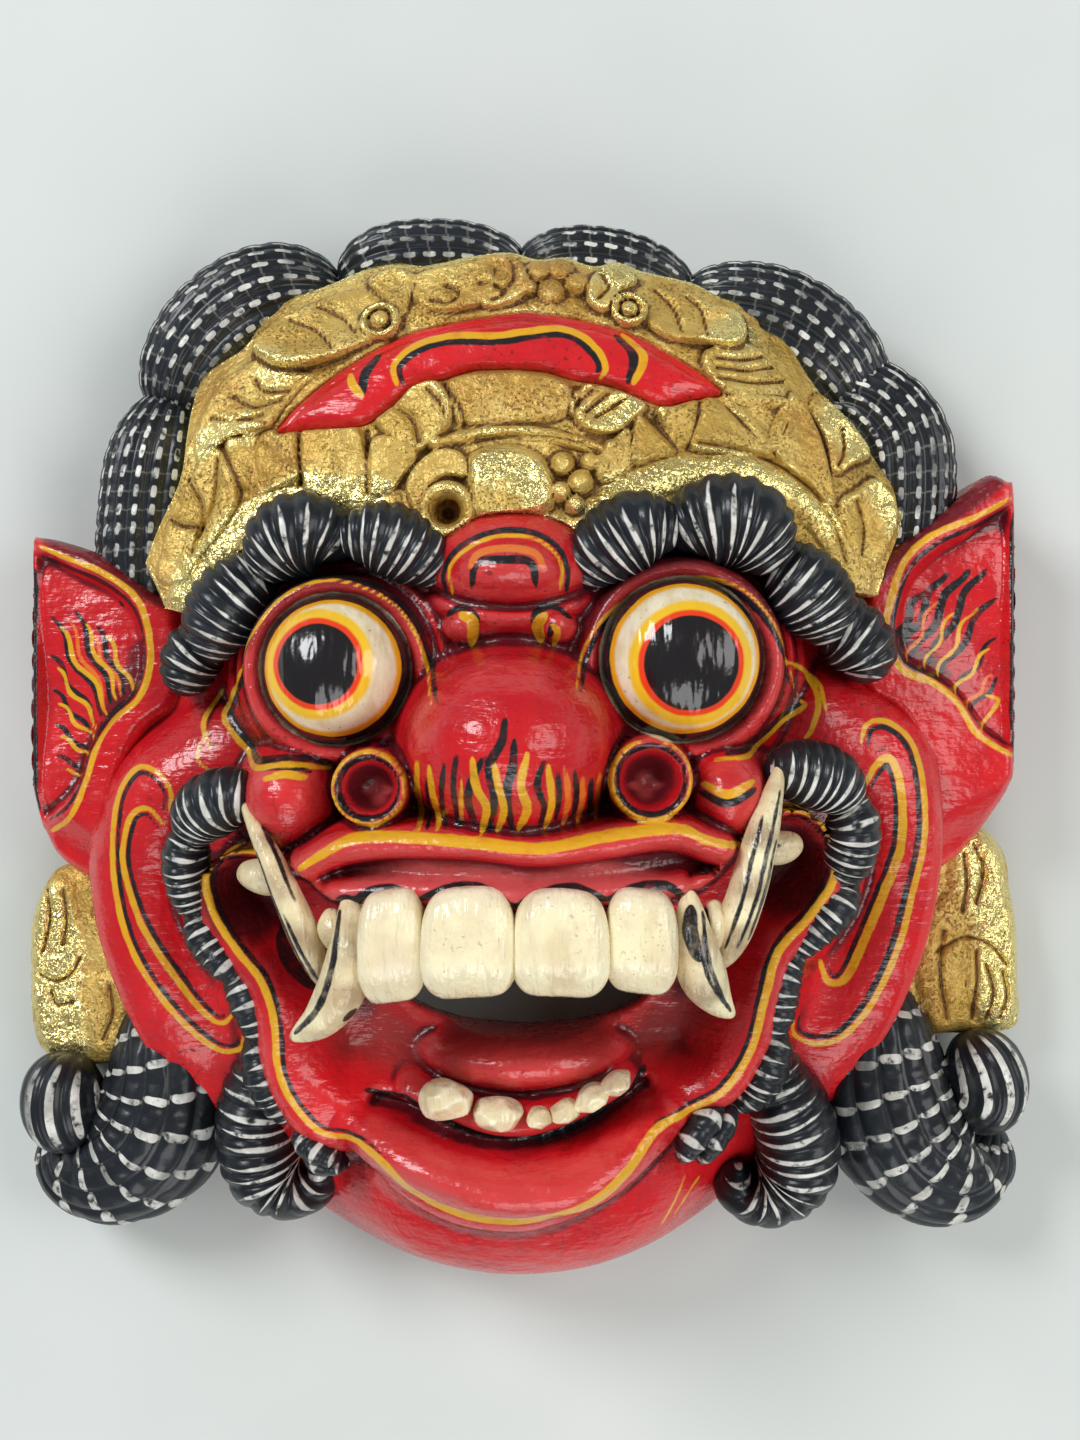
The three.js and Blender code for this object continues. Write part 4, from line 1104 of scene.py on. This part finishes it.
# leaves, scrolls and facets: outline, height, how it leans, how wide its edge slopes, and its dish
diadem_pads = [
    # leaf, scroll and lobes to the left above the crescent
    ([(-75, 111), (-69, 118), (-58, 124), (-48, 127), (-41, 126), (-35, 120), (-34, 114), (-44, 109), (-54, 105),
      (-65, 103.5), (-71, 106)], 7.0, (-1.6, -2.2), 2.2, 1.6),
    ([(-43, 130), (-36, 133), (-30, 130), (-31, 124), (-33, 117.5), (-37, 122)], 6.0, (0, 1), 2.0, 0.8),
    ([(-29, 131), (-20, 133), (-13, 134), (-8, 131), (-9, 122), (-20, 118.5), (-27, 120.5), (-31, 125)],
     6.4, (1, 1), 2.2, 0.6),
    ([(-13, 134), (-5, 136), (0, 133), (2, 126), (-4, 120.5), (-12, 121)], 7.2, (0, 1), 2.2, 0.8),
    # and to the right
    ([(18.5, 126), (22, 132), (29, 133), (31.5, 129), (27, 125.5), (23, 119), (19, 121)], 7.2, (-1, 0), 1.8, 1.0),
    ([(30, 126), (37, 129), (42, 126.5), (48.5, 126), (53, 122.5), (60.5, 121.5), (62.5, 115), (59, 110),
      (50, 110.5), (41, 111), (35, 115), (32.5, 121)], 7.0, (2.0, -1.6), 2.0, 1.6),
    ([(51, 108), (64, 111.5), (72.5, 103), (75.5, 96.5), (62, 95.5), (53, 97), (51, 101)],
     4.6, (-1, 0), 1.6, 0.0),
    # leaves down the left edge
    ([(-79, 104.5), (-72, 107), (-61, 102), (-57, 101), (-61, 97), (-66, 91), (-70, 85.5), (-78, 84.5), (-88, 92),
      (-84, 101)], 5.0, (-0.8, 0), 2.0, 1.0),
    ([(-88, 92), (-91, 86), (-90, 79), (-87.5, 75), (-84, 82), (-79, 84.5), (-70.5, 86.5), (-78, 88.5)],
     6.0, (1, 1), 1.5, 0.6),
    ([(-85, 81.5), (-77, 68.5), (-81.5, 57), (-88, 50), (-92, 44), (-100, 45), (-99, 53.5), (-97, 63),
      (-91.5, 72)],
     6.2, (0, 1.0), 2.0, 1.4),
    # cut facets over the left brow
    ([(-81.5, 82), (-75, 84.5), (-69, 83.5), (-72, 75), (-75, 68)], 5.2, (-2, 0), 3.2, 0.0),
    ([(-72, 82.5), (-66, 85), (-60.5, 84.5), (-59.7, 77), (-59.5, 71), (-67, 68), (-74, 66.5)],
     6.2, (2.0, 1.0), 2.2, 0.0),
    ([(-59.3, 84.5), (-52, 85), (-44, 84.5), (-41.5, 76), (-41, 70.5), (-43, 66.5), (-51, 65), (-58.3, 69.5)],
     6.4, (-1.6, 1.0), 2.2, 0.0),
    ([(-39.5, 81), (-34, 81.5), (-29, 79.5), (-28, 75), (-32, 70), (-35, 66), (-40, 66), (-41, 73)],
     5.8, (-1, 1), 2.0, 0.0),
    # fan under the crescent, its ribbed ends and the mound below it
    ([(-39, 86), (-34.5, 92.5), (-26, 97), (-20.5, 95), (-19, 86), (-23, 81), (-29, 78)], 7.6, (1, 1), 2.2, 0.0),
    ([(-20, 97), (-10, 99.5), (2, 99.5), (12, 97), (14, 91), (10, 86.5), (2, 85.5), (-12, 84.5), (-18, 87)],
     7.0, (0, 1.6), 3.5, 0.0),
    ([(13, 90), (17, 96), (23.5, 95), (33, 91), (30, 87), (25, 83), (17, 84)], 7.4, (0.6, 0.6), 2.0, 0.6),
    ([(-14, 76), (-5, 79), (3, 77.5), (8, 72), (8, 62), (-4, 59), (-12, 59), (-14, 67)],
     8.5, (0, -0.6), 4.2, 0.6),
    ([(-30, 67), (-28, 73), (-22, 77.5), (-16, 76.5), (-14.5, 71), (-20, 71), (-25, 67), (-27, 60)],
     7.0, (0, 0.6), 1.8, 0.8),
    # facets and small leaves over the right brow
    ([(31, 88.5), (36, 84), (41.5, 78), (36, 76), (29.5, 74.5), (29.5, 82)], 5.6, (-1, 0), 2.6, 0.0),
    ([(36.5, 89.5), (42, 92), (47.5, 93), (47, 87), (46, 82), (42.3, 79)], 5.2, (0, 1), 2.4, 0.0),
    ([(19.5, 74.5), (24, 80), (28.5, 84), (29.5, 78), (29, 73), (22, 69)], 6.4, (-1, 1), 2.2, 0.0),
    ([(50.5, 95), (60, 86.5), (69, 78.5), (57, 78), (46, 79), (48, 88)], 5.8, (-1, 0), 2.6, 0.0),
    ([(56, 94), (64, 95), (73.5, 94.5), (72, 87), (68, 80), (62, 87)], 5.0, (1, 0), 1.0, 3.6),
    ([(75, 97), (80, 91), (84, 80), (86, 66), (80, 70), (69.5, 79), (73, 87)], 6.0, (0, 1), 1.8, 0.6),
    ([(81, 94), (84, 98), (91, 92), (98, 82), (92, 78), (86.5, 75), (85, 84)], 6.4, (2, 0), 1.8, 0.8),
    ([(88, 66), (93, 70), (100, 74), (106, 66), (104, 58), (97, 49), (90, 56)], 6.4, (1.6, 1), 2.2, 1.4),
]
diadem_grooves = [
    [(-74, 100.5), (-71, 97), (-64, 96.5)], [(-80, 96), (-74, 92.5), (-66, 94)],
    [(-86, 90), (-78, 88.6), (-71, 90)],
    [(-97, 61.5), (-93, 59.5), (-88, 59)], [(-92, 73), (-87, 63), (-90, 52)], [(-83, 78), (-84, 66), (-88, 57)],
    [(-25, 94.5), (-21.5, 90.5), (-19.5, 86)], [(-21, 96), (-17, 91), (-15, 85)],
    [(-34, 90), (-29, 86), (-27, 80)],
    [(15, 90.5), (20, 95.5)], [(17.5, 88.5), (24.5, 94.5)], [(20, 87), (28.5, 92.5)], [(14, 87), (16, 95)],
    [(54, 106), (60.5, 106), (67, 108)], [(53.5, 103), (62, 103), (70, 105)], [(54, 100), (64, 99.5), (73, 101)],
    [(-25, 122), (-20, 121), (-17.5, 124), (-21, 126.5)], [(-12, 126.5), (-7.5, 126), (-5, 123.5), (-8, 121.5)],
    [(-57, 122), (-50, 118), (-46, 113)], [(-65, 118), (-57, 114), (-52, 108)], [(37, 127), (42, 121), (44, 113)],
    [(46, 125), (50, 120), (51, 112)], [(-3, 134), (-2, 129), (-5, 124)], [(22, 130), (24, 126), (21, 122)],
    [(47, 80.6), (57, 79.6), (68, 77), (79, 70), (85, 62), (89, 50)], [(-12, 81), (0, 82), (14, 80.5), (21, 77)],
    [(-60, 85), (-59.5, 78), (-59, 70)], [(-41.5, 84), (-40.5, 76), (-40.8, 67)], [(90, 88), (90, 82), (88, 77)],
    [(93, 67), (95, 60), (94, 52)],
]
# beads and knobs: middle, radius and height
diadem_knobs = [
    (4.5, 131.5, 3.8, 7.5), (10.5, 131.8, 4.2, 8), (15.2, 127.5, 3.8, 7.5), (8, 125, 4.2, 7), (1.8, 126, 2.6, 7),
    (11, 74, 3.4, 8.5), (15.6, 69.2, 3.6, 8.5), (10.4, 66.4, 3.0, 8.5), (14.2, 63, 2.8, 8),
    (18.2, 74.6, 2.8, 7.5), (-39, 116, 3.2, 9.5), (29.6, 119.6, 2.8, 8.5), (-78, 80, 2.2, 6),
    (-23, 80, 2.4, 7), (24, 79, 2.2, 7), (52, 105, 2.4, 6), (-64, 88, 2.2, 6), (46, 95, 2.4, 5.5),
]


# the red crescent that the carving leaves room for: its lower edge and its upper edge
crescent_low = [(-66, 84), (-57, 84.5), (-43, 85.5), (-34, 91), (-29, 96), (-20, 98.5), (-11, 101), (5, 100.5),
                (14, 98), (24, 96.5), (33, 93), (39, 91), (46, 93), (54, 95)]
crescent_high = [(-67, 85.5), (-61, 92.5), (-49, 102), (-34, 111), (-20, 115), (-3, 118), (5, 118), (22, 115),
                 (33, 111), (43, 105.5), (50, 101), (55, 96.5)]
crescent_low_line, crescent_high_line = smooth_line(crescent_low, 6), smooth_line(crescent_high, 6)
crescent_edge = np.vstack([crescent_low_line, crescent_high_line[::-1], crescent_low_line[:1]])
DEEP_RING = (-19.5, 61.5)  # the scroll over the left brow with a deep hole in it


def diadem_top(x, y):
    """The carved front of the diadem, flat where the crescent lies."""
    relief = np.full(np.shape(x), 2.6)
    for outline, high, lean, edge, dish in diadem_pads:
        relief = np.maximum(relief, pad(x, y, outline, high, lean, edge, dish))
    for kx, ky, radius, high in diadem_knobs:
        bead = np.clip(1.15 - ((x - kx) ** 2 + (y - ky) ** 2) / radius**2, 0, 1)
        relief = np.maximum(relief, high * np.sqrt(bead))
    for points, half, high in (
        ([(-93, 40), (-83, 52), (-74, 61.5), (-62, 66.5), (-50, 67), (-38, 65.5), (-30, 60)], 6.0, 4.4),
        ([(19, 60), (30, 68), (46, 73.5), (57, 74), (68, 71.5), (78, 65), (86, 56), (93, 45)], 6.2, 4.8),
        ([(-24, 79.5), (-14, 82), (-4, 83), (8, 82), (21, 78)], 2.2, 5.5),
    ):
        away = nearest(smooth_line(points, 5), x, y)[0]
        relief = np.maximum(relief, high * ridge(away, half))
    for rx, ry, radius, tube, high in (
        (*DEEP_RING, 5.8, 2.6, 8.5), (-39, 116, 4.6, 1.3, 8.2), (29.6, 119.6, 4.2, 1.3, 8),
    ):
        relief = np.maximum(relief, high * ridge(np.hypot(x - rx, y - ry) - radius, tube))
    relief -= 9 * np.exp(-(((x - DEEP_RING[0]) ** 2 + (y - DEEP_RING[1]) ** 2) / 11.0))
    for line in diadem_grooves:
        relief = relief - groove(x, y, line, 0.75, 2.0)
    off = nearest(crescent_edge, x, y)[0] * np.where(inside(crescent_edge, x, y), -1, 1)
    relief *= ease(off, -0.9, 0.9)
    relief += 0.3 * np.sin(x / 2.3 + 2 * np.sin(y / 4.1)) * np.sin(y / 2.7 + 1.5 * np.sin(x / 3.7))
    return dome(x, y) + relief


def into_block(x, y):
    """Just under the front of the head block, or down near the rim beyond it."""
    return np.clip(face_height(x, y) - 4, 2, dome(x, y) - 8)


mesh, place, edges, front = slab("diadem", 150, 58, across_arch(
    [(-98, 37), (-91, 36), (-84, 42), (-76, 52), (-62, 60), (-50, 62), (-38, 60), (-29, 55), (-24, 51), (-19, 55),
     (-11, 59.5), (-3, 60.5), (5, 60), (12, 58), (17, 54), (22, 56), (32, 62), (46, 65), (60, 64), (70, 58),
     (78, 50), (86, 42), (99, 41)],
    [(-105, 50), (-101, 60), (-95, 74), (-94, 90), (-92, 103), (-86, 108), (-79, 112), (-74, 120), (-68, 127),
     (-61, 128.5), (-52, 131.5), (-45, 134.5), (-36, 136), (-27, 134.5), (-15, 137), (-4, 138.5), (4, 136),
     (12, 137), (20, 134), (27, 136), (35, 133), (48, 131), (56, 127), (66, 124.5), (68, 118), (75, 115),
     (80, 106), (86, 97), (94, 91), (100, 81), (106, 73), (108, 63), (102, 50)]), diadem_top, into_block)
bright = np.zeros(len(place))
for spot in ([(-93, 40), (-83, 52), (-74, 61.5), (-62, 67), (-50, 67.5), (-38, 66)],
             [(19, 60), (30, 68), (46, 73.5), (57, 74.5), (68, 72), (78, 66), (84, 60)],
             [(-70, 104.5), (-62, 103)], [(55, 112), (61, 116)], [(86, 92), (92, 85)], [(100, 68), (104, 62)],
             [(-8, 72), (2, 70), (4, 64)], [(30, 91), (24, 86)], [(24, 131), (29, 131)], [(-88, 83), (-76, 86)]):
    away = nearest(smooth_line(spot, 4), place[:, 0], place[:, 1])[0]
    bright = np.maximum(bright, 1.1 - away / 6.5)
mark(mesh, "bright", bright)
finish_piece("diadem", mesh, place, edges, gold_leaf, 2)


# ---------------------------------------------------------------- red crescent on the diadem
# A smooth band let into the carving and painted in the same gloss red as the face, with yellow and
# black lines that rise and curl at both ends.
def crescent_finish(s):
    colour = lined(s, red_paint(s), "black", LINE_BLACK)
    return red_gloss(s, lined(s, colour, "yellow", YELLOW))


def crescent_top(x, y):
    """Swells from both edges, with a fine cut just inside the upper one."""
    low, high = nearest(crescent_low_line, x, y)[0], nearest(crescent_high_line, x, y)[0]
    swell = 1.2 + 5.2 * rolled_edge(np.minimum(low, high), 7.5)
    return dome(x, y) + swell - 0.8 * np.exp(-(((high - 2.6) / 0.7) ** 2))


mesh, place, edges, front = slab("crescent", 100, 18, across_arch(crescent_low, crescent_high),
                                 crescent_top, lambda x, y: dome(x, y) - 3, 2)
x, y = place[:, 0], place[:, 1]
long_line = [(-33.4, 96.3), (-34.5, 101.2), (-31.8, 105.3), (-26.3, 108.6), (-18, 110.3), (-7.9, 110),
             (0.3, 111.1), (9.4, 112.5), (16.2, 110.3), (20.9, 105.6), (22.6, 100.9), (21.2, 98.2)]
mark(mesh, "yellow", brush(x, y, [(1.1, long_line), (1.2, [(-46.5, 100), (-45.4, 96.5), (-42.7, 93)]),
                                  (1.2, [(27.5, 111.6), (32.4, 106.2), (32.7, 102.3), (30, 96.8)])]))
mark(mesh, "black", brush(x, y, [(1.2, beside(long_line, -1.7)),
                                 (1.4, [(-38.4, 105.6), (-42.2, 99.6), (-42.6, 94)]),
                                 (1.3, [(25.5, 111), (29.8, 105.8), (30.2, 102), (28.6, 97)])]))
finish_piece("crescent", mesh, place, edges, new_material("crescent_red_gloss", crescent_finish), 3)


# ---------------------------------------------------------------- ears
# A thick pointed ear stands out at each side, with a sunk panel painted in wavy flames and a yellow and
# black line round it. Same wood and gloss red as the face.
EAR_BACK, EAR_RIM, PANEL_SUNK = 10, 33.5, 6.0  # heights of the back and of the rim's foot, and the panel's depth
OFF_THE_FRONT = -40.0  # far enough that no stroke runs down the ear's side walls


def ear_finish(s):
    colour = lined(s, red_paint(s), "shade", (0.16, 0.008, 0.014), 1.2)
    for name, over in (("black", LINE_BLACK), ("orange", ORANGE), ("yellow", YELLOW)):
        colour = lined(s, colour, name, over)
    return red_gloss(s, colour)


ear_red = new_material("ear_red_gloss", ear_finish)


def round_outline(outline, middle):
    """Lays a grid inside a closed outline that can be seen all round from its middle."""
    line = smooth_line(outline, 6, closed=True) - np.array(middle)
    angle = np.arctan2(line[:-1, 1], line[:-1, 0])
    order = np.argsort(angle)
    angle, reach = angle[order], np.hypot(line[:-1, 0], line[:-1, 1])[order]

    def lay(u, v):
        dx, dy = u * np.sqrt(1 - v * v / 2), v * np.sqrt(1 - u * u / 2)
        turn = np.arctan2(dy, dx)
        out = np.interp(turn, angle, reach, period=2 * np.pi) * np.hypot(dx, dy)
        return middle[0] + out * np.cos(turn), middle[1] + out * np.sin(turn)
    return lay


def wave(start, end, swing, turns=1.7, phase=0.0):
    """A wavy stroke from one point to another."""
    t = np.linspace(0, 1, 12)
    run = np.array(end) - np.array(start)
    side = np.array([-run[1], run[0]]) / np.hypot(*run)
    return np.array(start) + t[:, None] * run + side * (swing * np.sin(2 * np.pi * turns * t + phase))[:, None]


ears = {
    "left": {
        "outline": [(-139, 59), (-141.5, 55), (-141.5, 20), (-141.5, -20), (-140, -27), (-136, -34), (-127, -40),
                    (-118, -42), (-116, -30), (-115, -12), (-108, 3), (-99, 10), (-96, 22), (-98, 36), (-106, 43),
                    (-114, 49), (-124, 55)],
        "middle": (-124, 14),
        "panel": [(-140.6, 53), (-140.6, 16), (-140.6, -20), (-132, -19), (-126, -12), (-123, -3), (-116, 6),
                  (-109.5, 13), (-107, 24), (-109, 36), (-116, 44), (-126, 49)],
        "yellow": [(1.0, [(-138, 56), (-130, 52.5), (-120, 48.5), (-110.5, 42), (-106.5, 34), (-105.5, 22),
                          (-109, 12.5), (-117, 6), (-121.5, -2), (-124, -10), (-129, -21), (-137, -26)])],
        "black": [(0.8, [(-138.5, 53.5), (-130, 50), (-120.5, 46), (-112, 40), (-108.6, 33), (-107.6, 23),
                         (-110.6, 14.5), (-118.6, 7.5), (-123.3, -1), (-126, -10), (-130, -18.5), (-137, -22.5)]),
                  (0.9, [(-140.6, 50), (-140.8, 15), (-140.6, -20)]),
                  (1.0, wave((-136, 36), (-120.5, 8), 1.2)), (0.9, wave((-129, 37.5), (-117.6, 11.5), 1.0)),
                  (0.9, wave((-122.5, 33), (-113.6, 14), 0.8)), (0.9, wave((-136.5, 25), (-123, 6), 1.0)),
                  (0.8, wave((-136, 15), (-124, 1.5), 0.8)), (0.8, wave((-135.5, 5), (-125.5, -3), 0.6, 1.3)),
                  (0.7, wave((-135, -4), (-127, -7.6), 0.4, 1))],
        "flames": [(0.8, wave((-134, 33), (-118.8, 8.5), 1.2, 1.7, 0.6)),
                   (0.7, wave((-126.5, 34), (-115.8, 12.5), 1.0, 1.7, 0.6)),
                   (0.7, wave((-119.6, 30.5), (-111.8, 15), 0.8, 1.5)),
                   (0.7, wave((-135, 21), (-122.4, 4.6), 1.0, 1.7, 0.6)),
                   (0.6, wave((-134.5, 11), (-123.6, 0.4), 0.8, 1.5)),
                   (0.6, wave((-134, 1.5), (-125, -4), 0.6, 1.3)),
                   (0.5, wave((-133, -8), (-127.4, -9.6), 0.4, 1))],
        "orange": [(0.6, wave((-131.5, 35), (-119.2, 10), 1.1, 1.7, 0.3)),
                   (0.6, wave((-124.5, 31), (-114.6, 13.6), 0.9, 1.6, 0.4))],
        "shade": [(4.2, [(-137, 59.5), (-122, 53), (-110, 46), (-100, 40)]),
                  (3.4, [(-120, 8), (-112, 17), (-110, 28)])],
    },
    "right": {
        "outline": [(134, 77), (139.5, 75.5), (142, 71), (142, 30), (142, -5), (141, -13), (138, -20), (133, -28),
                    (126, -35), (117, -38), (114, -24), (113, -6), (106, 8), (96, 16), (96, 36), (100, 50),
                    (108, 57), (118, 64), (127, 71)],
        "middle": (121, 20),
        "panel": [(140.6, 67), (141, 34), (141, 0), (134, 1), (129.5, 6), (124, 13), (116, 19), (108.5, 23.5),
                  (106, 32), (108, 44), (115, 53), (126, 60)],
        "yellow": [(1.1, [(140, 70), (130, 64.5), (117, 59), (109, 52), (105, 42), (103, 30), (108, 20.5),
                          (117, 17), (124.5, 11), (129, 3.5), (134, -0.5), (140.5, -4)])],
        "black": [(0.8, [(140, 67.5), (130, 62), (118, 56.5), (110.5, 50), (107, 41), (105, 31), (109.5, 22.5),
                         (118, 19), (126, 13), (130.5, 6), (135, 2), (140.5, -1)]),
                  (1.3, wave((105, 27), (116, 44), 1.0)), (1.3, wave((108, 25), (122, 49), 1.1)),
                  (1.3, wave((112, 24), (128, 50), 1.1, 1.7, 0.5)), (1.2, wave((117, 22.5), (133, 50), 1.1)),
                  (1.0, wave((121, 19.5), (136, 42), 1.0, 1.6, 0.5)),
                  (0.8, wave((125.5, 15), (137, 30), 0.9, 1.5)),
                  (0.7, wave((129.5, 9), (138, 18), 0.7, 1.2)), (0.9, [(141.2, 66), (141.3, 34), (141.2, -6)])],
        "flames": [(0.6, wave((119.5, 19), (131, 39), 1.0)), (0.6, wave((124, 13.5), (135.4, 27), 0.8, 1.5)),
                   (0.6, [(130.6, 3), (135, 7.6), (138, 12), (134.4, 13.4)]),
                   (0.5, wave((115.4, 21), (125, 38), 0.9, 1.6))],
        "orange": [(0.5, wave((110, 23), (119.6, 41), 0.9, 1.6, 0.4)),
                   (0.5, wave((127.4, 9.4), (136.2, 19), 0.8, 1.4))],
        "shade": [(4.5, [(137, 76), (122, 67), (109, 59), (100, 46)]), (4.2, [(107, 30), (113, 24), (122, 19)])],
    },
}
for side, ear in ears.items():
    edge_line = smooth_line(ear["outline"], 6, closed=True)
    panel_line = smooth_line(ear["panel"], 6, closed=True)

    def ear_top(x, y):
        """A rolled rim round a sunk panel. The ear rises towards the head and drops away at its lobe."""
        away = nearest(edge_line, x, y)[0]
        sunk = nearest(panel_line, x, y)[0] * np.where(inside(panel_line, x, y), 1, -1)
        out = np.abs(x - MIDLINE)
        rise_in = 4.5 * ease(out, 138, 100) - 9 * ease(-y - 14 + 0.6 * out - 80, 0, 16)
        return (EAR_RIM + 6.8 * rolled_edge(away, 4) + rise_in
                - PANEL_SUNK * ease(sunk, -0.8, 3.2) + 1.2 * np.sin((x + y) / 9) * ease(sunk, 0, 5))

    mesh, place, edges, front = slab(f"ear_{side}", 56, 56, round_outline(ear["outline"], ear["middle"]),
                                     ear_top, lambda x, y: np.full(np.shape(x), EAR_BACK))
    x, y = place[:, 0], place[:, 1]
    for colour, lists in (("yellow", ear["yellow"] + ear["flames"]), ("orange", ear["orange"]),
                          ("black", ear["black"]), ("shade", ear["shade"])):
        mark(mesh, colour, np.where(front, brush(x, y, lists), OFF_THE_FRONT))
    finish_piece(f"ear_{side}", mesh, place, edges, ear_red, 4)


# ---------------------------------------------------------------- ear ornaments
# A gilt plate hangs under each ear, gouged into long leaves, and tucks in behind the cheek. Each has an
# outline, leaves laid out as on the diadem, fine cuts, and a line along which the gold is rubbed bright.
PLATE_BACK, PLATE_EDGE = 3, 20

for side, outline, middle, leaves, cuts, shine in (
    ("left", [(-137, -37), (-143, -43), (-147, -54), (-147.5, -68), (-147, -82), (-144, -92), (-136, -96),
              (-124, -96), (-110, -92), (-100, -80), (-100, -60), (-108, -44), (-122, -36)], (-125, -66),
     [([(-146, -50), (-140, -41), (-132, -43), (-129, -56), (-131, -70), (-139, -72), (-146, -68)],
       4.6, (-1, 0), 2.4, 0.8),
      ([(-146.5, -72), (-140, -73), (-132, -72), (-127, -80), (-130, -90), (-140, -93), (-145, -86)],
       3.6, (0, -1), 2.4, 1.0),
      ([(-129, -74), (-121, -68), (-113, -72), (-112, -86), (-122, -92), (-129, -88)], 4.0, (1, 0), 2.0, 0.6),
      ([(-131, -44), (-122, -42), (-116, -52), (-120, -66), (-128, -64)], 3.8, (1, 1), 2.2, 0.6)],
     [[(-141, -44), (-140, -52), (-142, -62)], [(-136, -44), (-135, -52), (-136, -60)],
      [(-143, -69), (-139, -71), (-134, -69), (-131, -64)], [(-140, -74), (-138, -78), (-133, -77)],
      [(-122, -72), (-121, -80), (-124, -88)], [(-117, -74), (-116, -82), (-118, -89)]],
     [(-142, -50), (-139, -60), (-138, -82), (-136, -88)]),
    ("right", [(124, -26), (137, -26), (144, -34), (145.5, -44), (147.5, -55), (148, -70), (148, -84), (141, -87),
               (128, -87), (112, -86), (102, -76), (104, -52), (112, -34)], (127, -58),
     [([(128, -28), (138, -28), (143, -38), (141, -52), (133, -54), (127, -44)], 4.4, (1, 1), 2.4, 0.8),
      ([(133, -55), (144, -50), (147, -62), (146, -80), (138, -84), (132, -72)], 4.8, (1, 0), 2.4, 1.0),
      ([(126, -46), (131, -56), (130, -72), (132, -84), (122, -84), (117, -70), (119, -54)],
       4.0, (-1, 0), 2.2, 0.8)],
     [[(133, -30), (136, -38), (134, -48)], [(130, -33), (131, -42), (130, -50)],
      [(122, -62), (130, -58), (138, -60), (143, -66)], [(137, -66), (139, -74), (137, -82)],
      [(142, -68), (143, -76), (141, -82)], [(124, -56), (123, -68), (125, -82)],
      [(134, -62), (134, -72), (133, -82)]],
     [(136, -34), (138, -46), (143, -60), (142, -78)]),
):
    edge_line = smooth_line(outline, 6, closed=True)

    def plate_top(x, y):
        away = nearest(edge_line, x, y)[0]
        relief = np.zeros(np.shape(x))
        for shape, high, lean, edge, dish in leaves:
            relief = np.maximum(relief, 0.45 * pad(x, y, shape, high, lean, edge * 2.4, dish))
        for line in cuts:
            relief = relief - groove(x, y, line, 0.7, 1.5)
        body = PLATE_EDGE + 5 * rolled_edge(away, 6) + 0.10 * (118 - np.abs(x))
        return body + relief * np.clip(away / 2, 0, 1)

    mesh, place, edges, front = slab(f"ornament_{side}", 44, 44, round_outline(outline, middle),
                                     plate_top, lambda x, y: np.full(np.shape(x), PLATE_BACK))
    away = nearest(smooth_line(shine, 4), place[:, 0], place[:, 1])[0]
    mark(mesh, "bright", np.where(front, 1.5 - away / 7.5, 0))
    finish_piece(f"ornament_{side}", mesh, place, edges, gold_leaf, 4)


# ---------------------------------------------------------------- floor, lights and camera
# A plain pale floor under the rim, wide soft lamps as in a studio, and a camera straight above.
floor_mesh = bpy.data.meshes.new("floor")
ground = bmesh.new()
bmesh.ops.create_grid(ground, x_segments=1, y_segments=1, size=4.0)
bmesh.ops.translate(ground, vec=(0, 0, -0.0004), verts=ground.verts)
ground.to_mesh(floor_mesh)
ground.free()


def paper(s):
    cloud = s.noise(9, 2).rise(0.2, 0.8)
    return {"Base Color": cloud.mix((0.575, 0.61, 0.585), (0.63, 0.655, 0.635)), "Roughness": 0.85}


floor_mesh.materials.append(new_material("pale_card", paper))
floor = bpy.data.objects.new("floor", floor_mesh)
bpy.context.scene.collection.objects.link(floor)

# lamps: watts, width, place in metres and colour
for name, energy, size, place, colour in (
    ("window", 26, 0.8, (-1.1, 0.95, 1.25), (0.96, 0.98, 1.0)),
    ("fill", 15, 1.2, (1.3, 0.25, 1.2), (1.0, 0.985, 0.96)),
    ("near", 13.5, 1.2, (0.15, -1.3, 1.15), (1.0, 1.0, 1.0)),
):
    lamp = bpy.data.lights.new(name, "AREA")
    lamp.shape, lamp.energy, lamp.size, lamp.color = "DISK", energy, size, colour
    holder = bpy.data.objects.new(name, lamp)
    holder.location = place
    holder.rotation_euler = (Vector((0, 0, 0.03)) - Vector(place)).to_track_quat("-Z", "Y").to_euler()
    bpy.context.scene.collection.objects.link(holder)
world = bpy.data.worlds.new("room")
world.use_nodes = True
sky = world.node_tree.nodes["Background"].inputs
sky["Color"].default_value = (0.86, 0.90, 0.93, 1)
sky["Strength"].default_value = 0.26
bpy.context.scene.world = world
bpy.context.scene.view_settings.view_transform = "Standard"

lens = bpy.data.cameras.new("above")
lens.lens = 41.925
lens.sensor_width = 36
lens.clip_start = 0.01
camera = bpy.data.objects.new("above", lens)
camera.location = (5 * MM, 6.3 * MM, 520 * MM)
bpy.context.scene.collection.objects.link(camera)
bpy.context.scene.camera = camera
